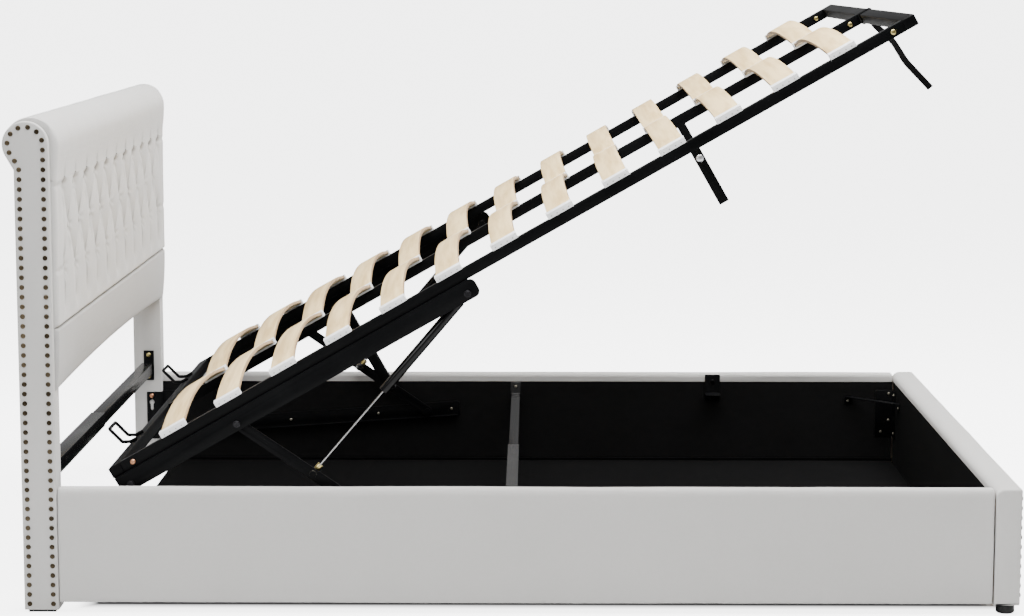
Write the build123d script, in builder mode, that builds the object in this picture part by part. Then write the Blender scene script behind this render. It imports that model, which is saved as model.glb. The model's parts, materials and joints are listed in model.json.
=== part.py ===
from build123d import *
from math import acos, atan2, cos, degrees, hypot, radians, sin
import os

# Storage bed with a scroll headboard and a lift-up slatted platform.
# Lengths are in millimetres and angles in degrees. +X points to the foot, +Z up.
# Left is the side at -Y. The platform is modelled raised, resting on its open stop.

os.makedirs("parts", exist_ok=True)

# Main sizes
bed_width = 1640.0
rail_length = 2050.0
post_depth = 76.0
post_thickness = 60.0
side_panel_thickness = 15.0
panel_edge = 2.0
scroll_radius = 50.0
scroll_height = 1030.0
post_neck_height = 975.0
post_shoulder_height = 948.0
glide_height = 6.0
glide_margin = 8.0
seam_gap = 0.3
joint_gap = 3.0

# Headboard
band_bottom = 492.0
band_top = 629.0
band_arch = 15.0
cushion_bottom = 631.0
cushion_top = 950.0
padding_edge_depth = 5.0
padding_crown = 13.0
band_crown = 5.0
frame_depth = 62.0
frame_member = 60.0
frame_stiles = 3
front_skin = 6.0
back_cover_thickness = 2.0
roll_radius = 58.0
roll_front = 17.0
tuft_side_margin = 104.7
tuft_row_pitch = 93.0
tuft_top_drop = 16.0
tuft_columns = 11
tuft_rows = 3
dimple_radius = 17.0
dimple_depth = 5.0
pleat_width = 12.0
pleat_depth = 3.0
button_radius = 9.0
button_height = 4.0
button_taper = 20.0

# Decorative nails
nail_radius = 5.5
nail_crown_radius = 2.6
nail_height = 2.4
nail_pitch = 21.2
nail_inset = 12.0
nail_sides = 8
nail_first_height = 20.0
foot_nail_margin = 21.5

# Side rails
rail_bottom = 23.7
rail_top = 277.4
rail_board_thickness = 20.0
rail_side_pad = 10.0
rail_top_pad = 9.4
rail_bottom_wrap = 3.3
wrap_thickness = 3.0
wrap_height = 22.0
pad_round = 9.0
lining_gap = 1.0

# Footboard
footboard_depth = 57.0
footboard_bottom = 20.0
footboard_top = 279.0
footboard_front_pad = 10.0
footboard_round = 12.0
foot_radius = 20.5
foot_chamfer = 3.0
foot_inset = 24.0

# Storage floor
floor_top = 31.0
floor_thickness = 5.0
floor_panels = 4
floor_head_gap = 32.0
floor_side_gap = 3.0
floor_seam = 2.0
ledge_width = 24.0
ledge_thickness = 2.0
ledge_lip = 12.0
leg_opening = 62.0

# Cross bars
head_bar_size = 34.0
head_bar_wall = 3.0
head_bar_top = 314.0
head_bar_front = 20.0
head_bar_overlap = 180.0
head_bar_setback = 60.0
head_plate_width = 28.0
head_plate_height = 84.0
head_plate_drop = 10.0
head_plate_thickness = 3.0
head_plate_bolt_rise = 30.0
mid_bar_share = 0.4844
mid_bar_width = 28.0
mid_bar_height = 26.0
mid_bar_wall = 2.0
mid_bar_top = 224.0
mid_bar_overlap = 220.0
mid_tab_height = 30.0
mid_bar_bolt_rise = 17.0
mid_bar_clearance = 0.2

# Small brackets
bracket_thickness = 3.0
connector_reach = 46.0
connector_back = 41.0
connector_top = 229.0
connector_bottom = 96.0
keyhole_radius = 7.0
keyhole_slot_radius = 4.0
keyhole_top_margin = 29.0
keyhole_drop = 19.0
keyhole_setback = 27.0
connector_bolt_margin = 11.0
connector_bolt_shares = (0.71, 0.26)
rest_bracket_share = 0.7537
rest_bracket_width = 42.0
rest_bracket_top_gap = 2.0
rest_bracket_bottom = 200.0
rest_shelf = 42.0
rest_bolt_high_rise = 32.0
rest_bolt_low_rise = 8.0
brace_reach = 138.0
brace_width = 22.0
brace_top_margin = 18.0
brace_plate_width = 50.0
brace_plate_low = 100.0
brace_plate_high = 232.0
brace_tab_drop = 18.0
brace_bolt_near = 13.0
brace_bolt_far = 34.0
brace_bolt_margin = 10.0
brace_bolt_share = 0.356
brace_bolt_lift = 14.0

# Fasteners
bolt_head_radius = 6.5
bolt_head_height = 4.0
bolt_sides = 6

# Lift mechanism, in the frame of the headboard face and the floor
open_angle = 29.65
deck_head_x = 104.6
deck_head_z = 310.6
closed_head_x = 18.0
closed_top = 250.0
base_pivot_x = 745.4
base_pivot_z = 173.4
head_pivot_x = 182.8
head_pivot_z = 133.8
pivot_line_depth = 52.0
head_link_station = 30.5
long_link_station = 301.0
strut_station = 885.0
strut_stud_reach = 200.6
pin_radius = 5.0
pin_clearance = 0.05
rivet_radius = 8.0
rivet_height = 3.0
link_width = 25.0
link_thickness = 4.0
base_bar_height = 40.0
base_bar_wall = 3.0
base_bar_lip = 12.0
base_bar_margin = 90.0
base_bar_round = 6.0
base_bar_bolt_shares = (0.03, 0.36, 0.692, 0.969)
arm_end_margin = 27.0
arm_start = 4.0
arm_height = 42.0
arm_wall = 3.5
arm_flange = 29.0
arm_tip_radius = 14.0
layer_gap = 1.0

# Gas struts
strut_cylinder_radius = 11.0
strut_cylinder_length = 262.0
strut_rod_radius = 4.0
strut_collar_length = 14.0
strut_collar_radius = 7.0
eye_radius = 11.0
eye_thickness = 10.0
eye_neck = 26.0
rod_tip_neck = 24.0
cylinder_wall = 1.5
cylinder_edge = 1.0
piston_back = 22.0
piston_length = 16.0
strut_pin_reach = 1.5

# Platform
deck_side_gap = 21.0
deck_foot_gap = 14.0
tube_size = 25.0
tube_wall = 1.5
end_rail_width = 30.0
slat_rows = 13
slat_width = 58.0
slat_thickness = 8.0
slat_margin = 170.2
slat_crown = 26.0
slat_seat = 3.0
slat_end_gap = 3.0
cap_length = 16.0
cap_width = 63.0
cap_height = 12.5
cap_rise = 2.8
cap_clearance = 0.3
retainer_wire_radius = 4.0
retainer_half_width = 44.0
retainer_share = 0.5627
retainer_station = 26.0
retainer_bend_station = 8.0
retainer_knee_station = -9.0
retainer_knee_height = 13.0
retainer_bend_radius = 6.0
retainer_tip_station = -20.0
retainer_tip_height = 54.0
leg_shares = (0.2646, 0.7349)
leg_size = 25.0
leg_length = 218.0
leg_stub_length = 96.0
leg_overlap = 30.0
stub_size = 21.4
leg_bolt_depth = 93.0
leg_bolt_radius = 10.0
strap_width = 25.0
strap_thickness = 2.5
strap_tail_width = 16.0
strap_y = -40.0
strap_fold = 3.0
strap_knee_reach = 12.0
strap_knee_drop = 72.0
strap_waist_reach = 15.0
strap_waist_drop = 131.0
strap_tip_reach = 37.0
strap_tip_drop = 217.0
strap_bend_radius = 12.0
end_bolt_inset = 57.0
end_bolt_depth = 13.0

# Derived sizes
half_width = bed_width / 2
scroll_reach = 2 * scroll_radius
bed_length = scroll_reach + rail_length + joint_gap + footboard_depth + nail_height
head_x = scroll_reach - bed_length / 2
rail_foot_x = head_x + rail_length
footboard_x = rail_foot_x + joint_gap
footboard_front_x = footboard_x + footboard_depth
leg_inner = half_width - post_thickness
panel_inner = half_width - side_panel_thickness
board_outer = half_width - rail_side_pad
board_inner = board_outer - rail_board_thickness
lining_face = board_inner - wrap_thickness
wrap_bottom = rail_top - wrap_height
deck_half_width = lining_face - deck_side_gap
deck_length = rail_length - closed_head_x - deck_foot_gap
arm_length = strut_station + arm_end_margin - arm_start
slat_pitch = (deck_length - 2 * slat_margin) / (slat_rows - 1)
leg_stations = [deck_length * share for share in leg_shares]
mid_bar_x = rail_length * mid_bar_share
rest_bracket_x = rail_length * rest_bracket_share
mid_bar_bolt_height = mid_bar_top + mid_bar_bolt_rise
rest_bolt_high = mid_bar_top + rest_bolt_high_rise
rest_bolt_low = rest_bracket_bottom + rest_bolt_low_rise
head_plate_centre = head_bar_top - head_plate_drop
keyhole_height = connector_top - keyhole_top_margin
brace_height = brace_plate_high - brace_top_margin
brace_bolt_high = brace_plate_high - brace_bolt_margin
brace_bolt_low = brace_plate_low + brace_bolt_lift
brace_bolt_mid = brace_plate_low + (brace_plate_high - brace_plate_low) * brace_bolt_share
padding_width = 2 * (panel_inner - seam_gap)
tuft_pitch = (padding_width - 2 * tuft_side_margin) / (tuft_columns - 1)
tuft_top_row = cushion_top - tuft_top_drop
foot_nail_low = footboard_bottom + foot_nail_margin
foot_nail_high = footboard_top - foot_nail_margin
sides = ((-1, "left"), (1, "right"))

# Layers across the width, counted from the lining inwards
base_bar_outer = lining_face
base_bar_inner = base_bar_outer - base_bar_wall
arm_outer = deck_half_width + arm_wall + 2 * layer_gap + link_thickness
arm_inner = arm_outer - arm_wall
link_outer = arm_inner - layer_gap
link_inner = link_outer - link_thickness
strut_centre = link_inner - rivet_height - layer_gap - strut_cylinder_radius
strut_pin_end = strut_centre - eye_thickness / 2 - strut_pin_reach


def world(x, z):
    """A point given from the headboard face and the floor, in the bed's frame."""
    return head_x + x, z


def side_plane(side, low, high):
    """The plane across the width on which a slab from low to high, seen from the side, begins."""
    return Plane.XZ.offset(low if side < 0 else -high)


def save(part, name):
    part.label = name
    export_step(part, f"parts/{name}.step")
    return part


# Kinematics of the lift: a long link and a short head link carry each arm.
deck_cos = cos(radians(open_angle))
deck_sin = sin(radians(open_angle))
deck_x, deck_z = world(deck_head_x, deck_head_z)


def deck_point(station, height):
    """A point of the raised platform from its station along it and height above its top."""
    x = deck_x + station * deck_cos - height * deck_sin
    z = deck_z + station * deck_sin + height * deck_cos
    return x, z


def deck_plane(height):
    """The platform's own plane at a height above its top: local x runs to the foot."""
    x, z = deck_point(0, height)
    return Plane(origin=(x, 0, z), x_dir=(deck_cos, 0, deck_sin), z_dir=(-deck_sin, 0, deck_cos))


def deck_side(side, low, high):
    """Side view plane of the raised platform for a slab from low to high across the width."""
    y = -low if side < 0 else high
    return Plane(origin=(deck_x, y, deck_z), x_dir=(deck_cos, 0, deck_sin), z_dir=(0, -1, 0))


def deck_section(station):
    """Plane square to the platform's length: local x runs to the right side, local y up."""
    x, z = deck_point(station, 0)
    return Plane(origin=(x, 0, z), x_dir=(0, 1, 0), z_dir=(deck_cos, 0, deck_sin))


base_pivot = world(base_pivot_x, base_pivot_z)
head_pivot = world(head_pivot_x, head_pivot_z)
long_link_top = deck_point(long_link_station, -pivot_line_depth)
head_link_top = deck_point(head_link_station, -pivot_line_depth)
strut_top = deck_point(strut_station, -pivot_line_depth)
long_link_length = hypot(long_link_top[0] - base_pivot[0], long_link_top[1] - base_pivot[1])
head_link_length = hypot(head_link_top[0] - head_pivot[0], head_link_top[1] - head_pivot[1])
stud_share = strut_stud_reach / long_link_length
stud_point = tuple(
    top + (base - top) * stud_share for top, base in zip(long_link_top, base_pivot)
)
strut_open_length = hypot(strut_top[0] - stud_point[0], strut_top[1] - stud_point[1])
closed_line = closed_top - pivot_line_depth
closed_link_end = world(closed_head_x + long_link_station, closed_line)
closed_head_end = world(closed_head_x + head_link_station, closed_line)
closed_strut_end = world(closed_head_x + strut_station, closed_line)
closed_stud = tuple(
    top + (base - top) * stud_share for top, base in zip(closed_link_end, base_pivot)
)
strut_closed_length = hypot(
    closed_strut_end[0] - closed_stud[0], closed_strut_end[1] - closed_stud[1]
)


def turn(centre, start, end):
    """Angle in degrees from start to end about centre, positive anticlockwise from the left."""
    first = atan2(start[1] - centre[1], start[0] - centre[0])
    last = atan2(end[1] - centre[1], end[0] - centre[0])
    return degrees(last - first)


link_turn = turn(base_pivot, long_link_top, closed_link_end)
head_turn = turn(head_pivot, head_link_top, closed_head_end)
strut_turn = degrees(
    atan2(closed_stud[1] - closed_strut_end[1], closed_stud[0] - closed_strut_end[0])
    - atan2(stud_point[1] - strut_top[1], stud_point[0] - strut_top[0])
)
print("head face x", head_x, "bed length", bed_length)
print("link", long_link_length, "turns", link_turn, "head link", head_link_length, "turns", head_turn)
print("strut", strut_open_length, strut_closed_length, "turns", strut_turn)
print("pivots", base_pivot, head_pivot, long_link_top, head_link_top, strut_top, stud_point)


# Headboard posts: a scroll-shaped side panel with a leg block behind it
def scroll_points():
    """The scroll's circle centre, the angle where it leaves for the neck, and that tangent point."""
    centre = (head_x - scroll_radius, scroll_height)
    neck = (head_x - post_depth, post_neck_height)
    reach = hypot(neck[0] - centre[0], neck[1] - centre[1])
    direction = degrees(atan2(neck[1] - centre[1], neck[0] - centre[0])) % 360
    leave = direction - degrees(acos(scroll_radius / reach))
    return centre, neck, leave


def scroll_outline(inset, bottom):
    """Front edge, scroll and back edge of the side panel, moved inwards by an inset."""
    centre, neck, leave = scroll_points()
    radius = scroll_radius - inset
    last = (centre[0] + radius * cos(radians(leave)), centre[1] + radius * sin(radians(leave)))
    neck_in = (neck[0] + inset, neck[1] + inset * sin(radians(leave - 180)))
    front = Line((head_x - inset, bottom), (head_x - inset, scroll_height))
    arc = CenterArc(centre, radius, 0, leave)
    diagonal = Line(last, neck_in)
    back = Line(neck_in, (neck_in[0], bottom))
    return front, arc, diagonal, back


def make_post(side, name):
    with BuildPart() as post:
        with BuildSketch(side_plane(side, panel_inner, half_width)):
            with BuildLine():
                front, arc, diagonal, back = scroll_outline(0, glide_height)
                Line(back @ 1, front @ 0)
            make_face()
        extrude(amount=side_panel_thickness)
        outer = post.faces().sort_by(Axis.Y)[0 if side < 0 else -1]
        chamfer(outer.edges(), panel_edge)
        with BuildSketch(side_plane(side, leg_inner, panel_inner)):
            with BuildLine():
                Polyline(
                    (head_x, glide_height),
                    (head_x, post_shoulder_height),
                    (head_x - post_depth, post_shoulder_height),
                    (head_x - post_depth, glide_height),
                    close=True,
                )
            make_face()
        extrude(amount=post_thickness - side_panel_thickness)
    return save(post.part, name)


for side, label in sides:
    make_post(side, f"headboard_post_{label}")

with BuildPart() as post_glides:
    glide_x = head_x - post_depth / 2
    glide_places = [(glide_x, side * (half_width - post_thickness / 2)) for side, _ in sides]
    with BuildSketch(Plane.XY):
        with Locations(*glide_places):
            Rectangle(post_depth - 2 * glide_margin, post_thickness - 2 * glide_margin)
    extrude(amount=glide_height)
save(post_glides.part, "post_glides")


def nail_places():
    """Places along the front edge, round the scroll and down the back edge at an even pitch."""
    with BuildLine(mode=Mode.PRIVATE):
        runs = scroll_outline(nail_inset, nail_first_height)
        lengths = [run.length for run in runs]
        total = sum(lengths)
        count = round(total / nail_pitch)
        places = []
        for index in range(count + 1):
            reach = total * index / count
            for run, length in zip(runs, lengths):
                if reach <= length or run is runs[-1]:
                    point = run.position_at(min(reach / length, 1))
                    places.append((point.X, point.Y))
                    break
                reach -= length
    return places


nail_taper = degrees(atan2(nail_radius - nail_crown_radius, nail_height))
side_nail_places = nail_places()
print("nails on one post", len(side_nail_places))
with BuildPart() as post_nails:
    for side, _ in sides:
        face_plane = Plane(origin=(0, side * half_width, 0), x_dir=(1, 0, 0), z_dir=(0, side, 0))
        with BuildSketch(face_plane):
            with Locations(*[(x, -side * z) for x, z in side_nail_places]):
                RegularPolygon(nail_radius, nail_sides)
        extrude(amount=nail_height, taper=nail_taper)
save(post_nails.part, "post_nails")


def cut_arch(start, depth):
    """The arched lower edge, cut from the panel being built over a depth along the bed."""
    with BuildSketch(Plane.YZ.offset(start)) as under:
        with BuildLine():
            ThreePointArc((-panel_inner, band_bottom), (0, band_bottom + band_arch), (panel_inner, band_bottom))
            Line((panel_inner, band_bottom), (-panel_inner, band_bottom))
        make_face()
    extrude(under.sketch, amount=depth, mode=Mode.SUBTRACT)


# Headboard frame: a panelled wooden frame between the posts with a plywood front
with BuildPart() as headboard_frame:
    frame_width = 2 * (leg_inner - seam_gap)
    frame_height = cushion_top - band_bottom
    with BuildSketch(Plane.YZ.offset(head_x - frame_depth)):
        with Locations((0, band_bottom + frame_height / 2)):
            Rectangle(frame_width, frame_height)
    extrude(amount=frame_depth)
    bays = frame_stiles + 1
    bay = (frame_width - (bays + 1) * frame_member) / bays
    with BuildSketch(Plane.YZ.offset(head_x - frame_depth)):
        with Locations((0, band_bottom + frame_height / 2)):
            with GridLocations(bay + frame_member, 0, bays, 1):
                Rectangle(bay, frame_height - 2 * frame_member)
    extrude(amount=frame_depth - front_skin, mode=Mode.SUBTRACT)
    cut_arch(head_x - frame_depth, frame_depth)
save(headboard_frame.part, "headboard_frame")

with BuildPart() as headboard_back_cover:
    with BuildSketch(Plane.YZ.offset(head_x - frame_depth - back_cover_thickness)):
        with Locations((0, band_bottom + frame_height / 2)):
            Rectangle(frame_width, frame_height)
    extrude(amount=back_cover_thickness)
    cut_arch(head_x - frame_depth - back_cover_thickness, back_cover_thickness)
save(headboard_back_cover.part, "headboard_back_cover")


def padding_profile(bottom, top, crown):
    """Crowned section of a padded front, standing on the frame's face."""
    back = head_x + seam_gap
    edge = head_x + padding_edge_depth - seam_gap
    middle = (head_x + crown, (bottom + top) / 2)
    ThreePointArc((edge, bottom), middle, (edge, top))
    Polyline((edge, top), (back, top), (back, bottom), (edge, bottom))


with BuildPart() as headboard_band:
    with BuildSketch(Plane.XZ.offset(-padding_width / 2)):
        with BuildLine():
            padding_profile(band_bottom, band_top, band_crown)
        make_face()
    extrude(amount=padding_width)
    cut_arch(head_x, padding_crown)
save(headboard_band.part, "headboard_band")


def tuft_places():
    """Button places across the padding: full rows, with the middle row set off by half a pitch."""
    places = []
    for row in range(tuft_rows):
        height = tuft_top_row - row * tuft_row_pitch
        count = tuft_columns - row % 2
        for column in range(count):
            places.append(((column - (count - 1) / 2) * tuft_pitch, height, row))
    return places


def padding_front(height):
    """How far the crowned cushion stands in front of the headboard face at a height."""
    half = (cushion_top - cushion_bottom) / 2
    middle = (cushion_top + cushion_bottom) / 2
    edge = padding_edge_depth - seam_gap
    rise = padding_crown - edge
    radius = (half * half + rise * rise) / (2 * rise)
    return padding_crown - radius + (radius * radius - (height - middle) ** 2) ** 0.5


def pleat_runs():
    """Rows of sewn folds: their start height, their places across, and how far they step down."""
    rows = {}
    for y, z, row in tuft_places():
        rows.setdefault(row, (z, []))[1].append(y)
    runs = [(rows[0][0], rows[0][1], 0, cushion_top - rows[0][0])]
    for row in range(tuft_rows - 1):
        z, places = rows[row]
        for step in (-tuft_pitch / 2, tuft_pitch / 2):
            inside = [y for y in places if abs(y + step) < padding_width / 2]
            runs.append((z, inside, step, -tuft_row_pitch))
    last_z, last_places = rows[tuft_rows - 1]
    runs.append((last_z, last_places, 0, cushion_bottom - last_z))
    return runs


flat_share = cos(radians(180 / nail_sides))
dimple_taper = degrees(atan2((dimple_radius - button_radius) * flat_share, dimple_depth + pleat_depth))

with BuildPart() as headboard_cushion:
    with BuildSketch(Plane.XZ.offset(-padding_width / 2)):
        with BuildLine():
            padding_profile(cushion_bottom, cushion_top, padding_crown)
        make_face()
    extrude(amount=padding_width)
    for z, places, step, rise in pleat_runs():
        start = padding_front(z)
        slope = Vector(padding_front(z + rise) - start, step, rise)
        with BuildSketch(Plane.XY.offset(z)):
            for y in places:
                with BuildLine():
                    Polyline(
                        (head_x + start + pleat_depth, y - pleat_width),
                        (head_x + start - pleat_depth, y),
                        (head_x + start + pleat_depth, y + pleat_width),
                        close=True,
                    )
                make_face()
        extrude(amount=slope.length, dir=slope.normalized(), mode=Mode.SUBTRACT)
    for row in range(tuft_rows):
        row_places = [(y, -z) for y, z, place_row in tuft_places() if place_row == row]
        mouth = head_x + padding_front(-row_places[0][1]) + pleat_depth
        facing_back = Plane(origin=(mouth, 0, 0), x_dir=(0, 1, 0), z_dir=(-1, 0, 0))
        with BuildSketch(facing_back):
            with Locations(*row_places):
                RegularPolygon(dimple_radius, nail_sides)
        extrude(amount=dimple_depth + pleat_depth, taper=dimple_taper, mode=Mode.SUBTRACT)
save(headboard_cushion.part, "headboard_cushion")

with BuildPart() as tuft_buttons:
    for row in range(tuft_rows):
        row_places = [(y, z) for y, z, place_row in tuft_places() if place_row == row]
        front = head_x + padding_front(row_places[0][1]) - dimple_depth
        with BuildSketch(Plane.YZ.offset(front)):
            with Locations(*row_places):
                RegularPolygon(button_radius - seam_gap, nail_sides)
        extrude(amount=button_height, taper=button_taper)
save(tuft_buttons.part, "tuft_buttons")

with BuildPart() as headboard_roll:
    roll_centre = (head_x + roll_front - roll_radius, scroll_height)
    roll_back = head_x - frame_depth - back_cover_thickness
    roll_edge = head_x + padding_edge_depth
    seat = cushion_top + seam_gap
    roll_half = panel_inner - seam_gap
    roll_reach = hypot(roll_back - roll_centre[0], post_neck_height - roll_centre[1])
    roll_direction = degrees(atan2(post_neck_height - roll_centre[1], roll_back - roll_centre[0])) % 360
    roll_leave = roll_direction - degrees(acos(min(1, roll_radius / roll_reach)))
    with BuildSketch(Plane.XZ.offset(-roll_half)):
        with BuildLine():
            top_arc = CenterArc(roll_centre, roll_radius, 0, roll_leave)
            Polyline(top_arc @ 1, (roll_back, post_neck_height), (roll_back, seat), (roll_edge, seat))
            TangentArc(top_arc @ 0, (roll_edge, seat), tangent=(0, -1))
        make_face()
    extrude(amount=2 * roll_half)
save(headboard_roll.part, "headboard_roll")


# Side rails: a board, a padded cover wrapped over it, and a black lining inside
def make_rail(side, label):
    start = head_x + seam_gap
    length = rail_length - seam_gap
    section = Plane(origin=(start, 0, 0), x_dir=(0, side, 0), z_dir=(1, 0, 0) if side > 0 else (-1, 0, 0))
    reach = length * side
    board_bottom = rail_bottom + rail_bottom_wrap
    board_top = rail_top - rail_top_pad
    with BuildPart() as board:
        with BuildSketch(section):
            with BuildLine():
                Polyline(
                    (board_inner, board_bottom),
                    (board_outer, board_bottom),
                    (board_outer, board_top),
                    (board_inner, board_top),
                    close=True,
                )
            make_face()
        extrude(amount=reach)
    save(board.part, f"side_rail_board_{label}")
    with BuildPart() as cover:
        with BuildSketch(section):
            with BuildLine():
                Polyline(
                    (board_inner, board_bottom),
                    (board_inner, rail_bottom),
                    (half_width, rail_bottom),
                    (half_width, rail_top),
                    (lining_face, rail_top),
                    (lining_face, wrap_bottom),
                    (board_inner, wrap_bottom),
                    (board_inner, board_top),
                    (board_outer, board_top),
                    (board_outer, board_bottom),
                    close=True,
                )
            make_face()
        extrude(amount=reach)
        long_edges = cover.edges().filter_by(Axis.X)
        top_edges = long_edges.group_by(Axis.Z)[-1]
        fillet(top_edges, pad_round)
        bottom_edges = cover.edges().filter_by(Axis.X).group_by(Axis.Z)[0]
        fillet(bottom_edges.sort_by(Axis.Y)[0 if side < 0 else -1], wrap_thickness)
    save(cover.part, f"side_rail_cover_{label}")
    with BuildPart() as lining:
        with BuildSketch(section):
            with BuildLine():
                Polyline(
                    (lining_face, floor_top - floor_thickness),
                    (board_inner, floor_top - floor_thickness),
                    (board_inner, wrap_bottom - lining_gap),
                    (lining_face, wrap_bottom - lining_gap),
                    close=True,
                )
            make_face()
        extrude(amount=reach)
    save(lining.part, f"side_rail_lining_{label}")


for side, label in sides:
    make_rail(side, label)


# Footboard: a board, a padded cover that closes over its top and ends, and a lining
footboard_mid_x = footboard_x + footboard_depth / 2
board_x = footboard_x + wrap_thickness
board_depth = footboard_depth - wrap_thickness - footboard_front_pad
board_half = half_width - rail_side_pad
foot_board_top = footboard_top - rail_top_pad

with BuildPart() as footboard_board:
    with BuildSketch(Plane.XY.offset(footboard_bottom)):
        with Locations((board_x + board_depth / 2, 0)):
            Rectangle(board_depth, 2 * board_half)
    extrude(amount=foot_board_top - footboard_bottom)
save(footboard_board.part, "footboard_board")

with BuildPart() as footboard_cover:
    with BuildSketch(Plane.XY.offset(footboard_bottom)):
        with Locations((footboard_mid_x, 0)):
            Rectangle(footboard_depth, bed_width)
    extrude(amount=footboard_top - footboard_bottom)
    fillet(footboard_cover.edges().filter_by(Axis.Z).group_by(Axis.X)[-1], footboard_round)
    fillet(footboard_cover.edges().group_by(Axis.Z)[-1], pad_round)
    with BuildSketch(Plane.XY.offset(footboard_bottom)):
        with Locations((board_x + board_depth / 2, 0)):
            Rectangle(board_depth, 2 * board_half)
    extrude(amount=foot_board_top - footboard_bottom, mode=Mode.SUBTRACT)
    with BuildSketch(Plane.XY.offset(footboard_bottom)):
        with Locations((footboard_x + wrap_thickness / 2, 0)):
            Rectangle(wrap_thickness, 2 * lining_face)
    extrude(amount=wrap_bottom - footboard_bottom, mode=Mode.SUBTRACT)
save(footboard_cover.part, "footboard_cover")

with BuildPart() as footboard_lining:
    with BuildSketch(Plane.XY.offset(floor_top - floor_thickness)):
        with Locations((footboard_x + wrap_thickness / 2, 0)):
            Rectangle(wrap_thickness, 2 * (lining_face - lining_gap))
    extrude(amount=wrap_bottom - lining_gap - floor_top + floor_thickness)
save(footboard_lining.part, "footboard_lining")

foot_nail_rise = foot_nail_high - foot_nail_low
foot_nail_count = round(foot_nail_rise / nail_pitch)
foot_nail_places = [
    (side * (half_width - nail_inset), foot_nail_low + foot_nail_rise * step / foot_nail_count)
    for side, _ in sides
    for step in range(foot_nail_count + 1)
]
with BuildPart() as footboard_nails:
    with BuildSketch(Plane.YZ.offset(footboard_front_x)):
        with Locations(*foot_nail_places):
            RegularPolygon(nail_radius, nail_sides)
    extrude(amount=nail_height, taper=nail_taper)
save(footboard_nails.part, "footboard_nails")

with BuildPart() as corner_feet:
    with BuildSketch(Plane.XY):
        with Locations(*[(footboard_mid_x, side * (half_width - foot_inset)) for side, _ in sides]):
            Circle(foot_radius)
    extrude(amount=footboard_bottom)
    chamfer(corner_feet.edges().group_by(Axis.Z)[0], foot_chamfer)
save(corner_feet.part, "corner_feet")


# Storage floor: boards laid across on ledges, with openings where the centre legs pass
floor_x = head_x + floor_head_gap
floor_end_x = footboard_x - lining_gap
panel_pitch = (floor_end_x - floor_x) / floor_panels
floor_half = lining_face - floor_side_gap
leg_closed_x = [head_x + closed_head_x + station for station in leg_stations]

for index in range(floor_panels):
    low = floor_x + index * panel_pitch
    high = low + panel_pitch - floor_seam
    with BuildPart() as floor_panel:
        with BuildSketch(Plane.XY.offset(floor_top - floor_thickness)):
            with Locations(((low + high) / 2, 0)):
                Rectangle(high - low, 2 * floor_half)
            through = [x for x in leg_closed_x if low - leg_opening < x < high + leg_opening]
            for x in through:
                with Locations((x, 0)):
                    Rectangle(leg_opening, leg_opening, mode=Mode.SUBTRACT)
        extrude(amount=floor_thickness)
    save(floor_panel.part, f"floor_panel_{index + 1}")

with BuildPart() as floor_ledges:
    ledge_top = floor_top - floor_thickness
    for side, _ in sides:
        section = Plane(origin=(floor_x, 0, 0), x_dir=(0, side, 0), z_dir=(side, 0, 0))
        with BuildSketch(section):
            with BuildLine():
                Polyline(
                    (lining_face - ledge_width, ledge_top - ledge_thickness),
                    (lining_face, ledge_top - ledge_thickness),
                    (lining_face, ledge_top + ledge_lip),
                    (lining_face - ledge_thickness, ledge_top + ledge_lip),
                    (lining_face - ledge_thickness, ledge_top),
                    (lining_face - ledge_width, ledge_top),
                    close=True,
                )
            make_face()
        extrude(amount=side * (floor_end_x - floor_x))
save(floor_ledges.part, "floor_ledges")


# Head cross bar: two angle steels that slide into each other, on a plate at each post
def angle_profile(front, top, size, wall):
    """Angle steel section: a flat top and a wall hanging at the front."""
    Polyline(
        (front - size, top),
        (front, top),
        (front, top - size),
        (front - wall, top - size),
        (front - wall, top - wall),
        (front - size, top - wall),
        close=True,
    )


plate_face = leg_inner - head_plate_thickness
bar_front = head_x - head_bar_front
for side, label in sides:
    nested = side > 0
    drop = head_bar_wall + mid_bar_clearance if nested else 0
    past_middle = head_bar_setback + head_bar_overlap if nested else -head_bar_setback
    with BuildPart() as head_bar:
        with BuildSketch(side_plane(side, -past_middle, plate_face)):
            with BuildLine():
                angle_profile(bar_front - drop, head_bar_top - drop, head_bar_size - drop, head_bar_wall)
            make_face()
        extrude(amount=plate_face + past_middle)
    save(head_bar.part, f"head_cross_bar_{label}")

with BuildPart() as head_bar_plates:
    for side, _ in sides:
        with BuildSketch(side_plane(side, plate_face, leg_inner)):
            with Locations((bar_front - head_plate_width / 2, head_plate_centre)):
                Rectangle(head_plate_width, head_plate_height)
        extrude(amount=head_plate_thickness)
save(head_bar_plates.part, "head_bar_plates")


# Mid cross bar: two channels nested at the middle, hung on tabs at the linings
def channel_profile(centre, top, width, height, wall):
    """Channel steel section, open below."""
    half = width / 2
    Polyline(
        (centre - half, top - height),
        (centre - half, top),
        (centre + half, top),
        (centre + half, top - height),
        (centre + half - wall, top - height),
        (centre + half - wall, top - wall),
        (centre - half + wall, top - wall),
        (centre - half + wall, top - height),
        close=True,
    )


mid_x = head_x + mid_bar_x
tab_face = lining_face - bracket_thickness
for side, label in sides:
    nested = side > 0
    shrink = mid_bar_wall + mid_bar_clearance if nested else 0
    past_middle = mid_bar_overlap if nested else 0
    with BuildPart() as mid_bar:
        with BuildSketch(side_plane(side, -past_middle, tab_face)):
            with BuildLine():
                channel_profile(
                    mid_x,
                    mid_bar_top - shrink,
                    mid_bar_width - 2 * shrink,
                    mid_bar_height - shrink,
                    mid_bar_wall,
                )
            make_face()
        extrude(amount=tab_face + past_middle)
        with BuildSketch(side_plane(side, tab_face, lining_face)):
            with Locations((mid_x, mid_bar_top - mid_bar_height + (mid_bar_height + mid_tab_height) / 2)):
                Rectangle(mid_bar_width, mid_bar_height + mid_tab_height)
        extrude(amount=bracket_thickness)
    save(mid_bar.part, f"mid_cross_bar_{label}")


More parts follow.
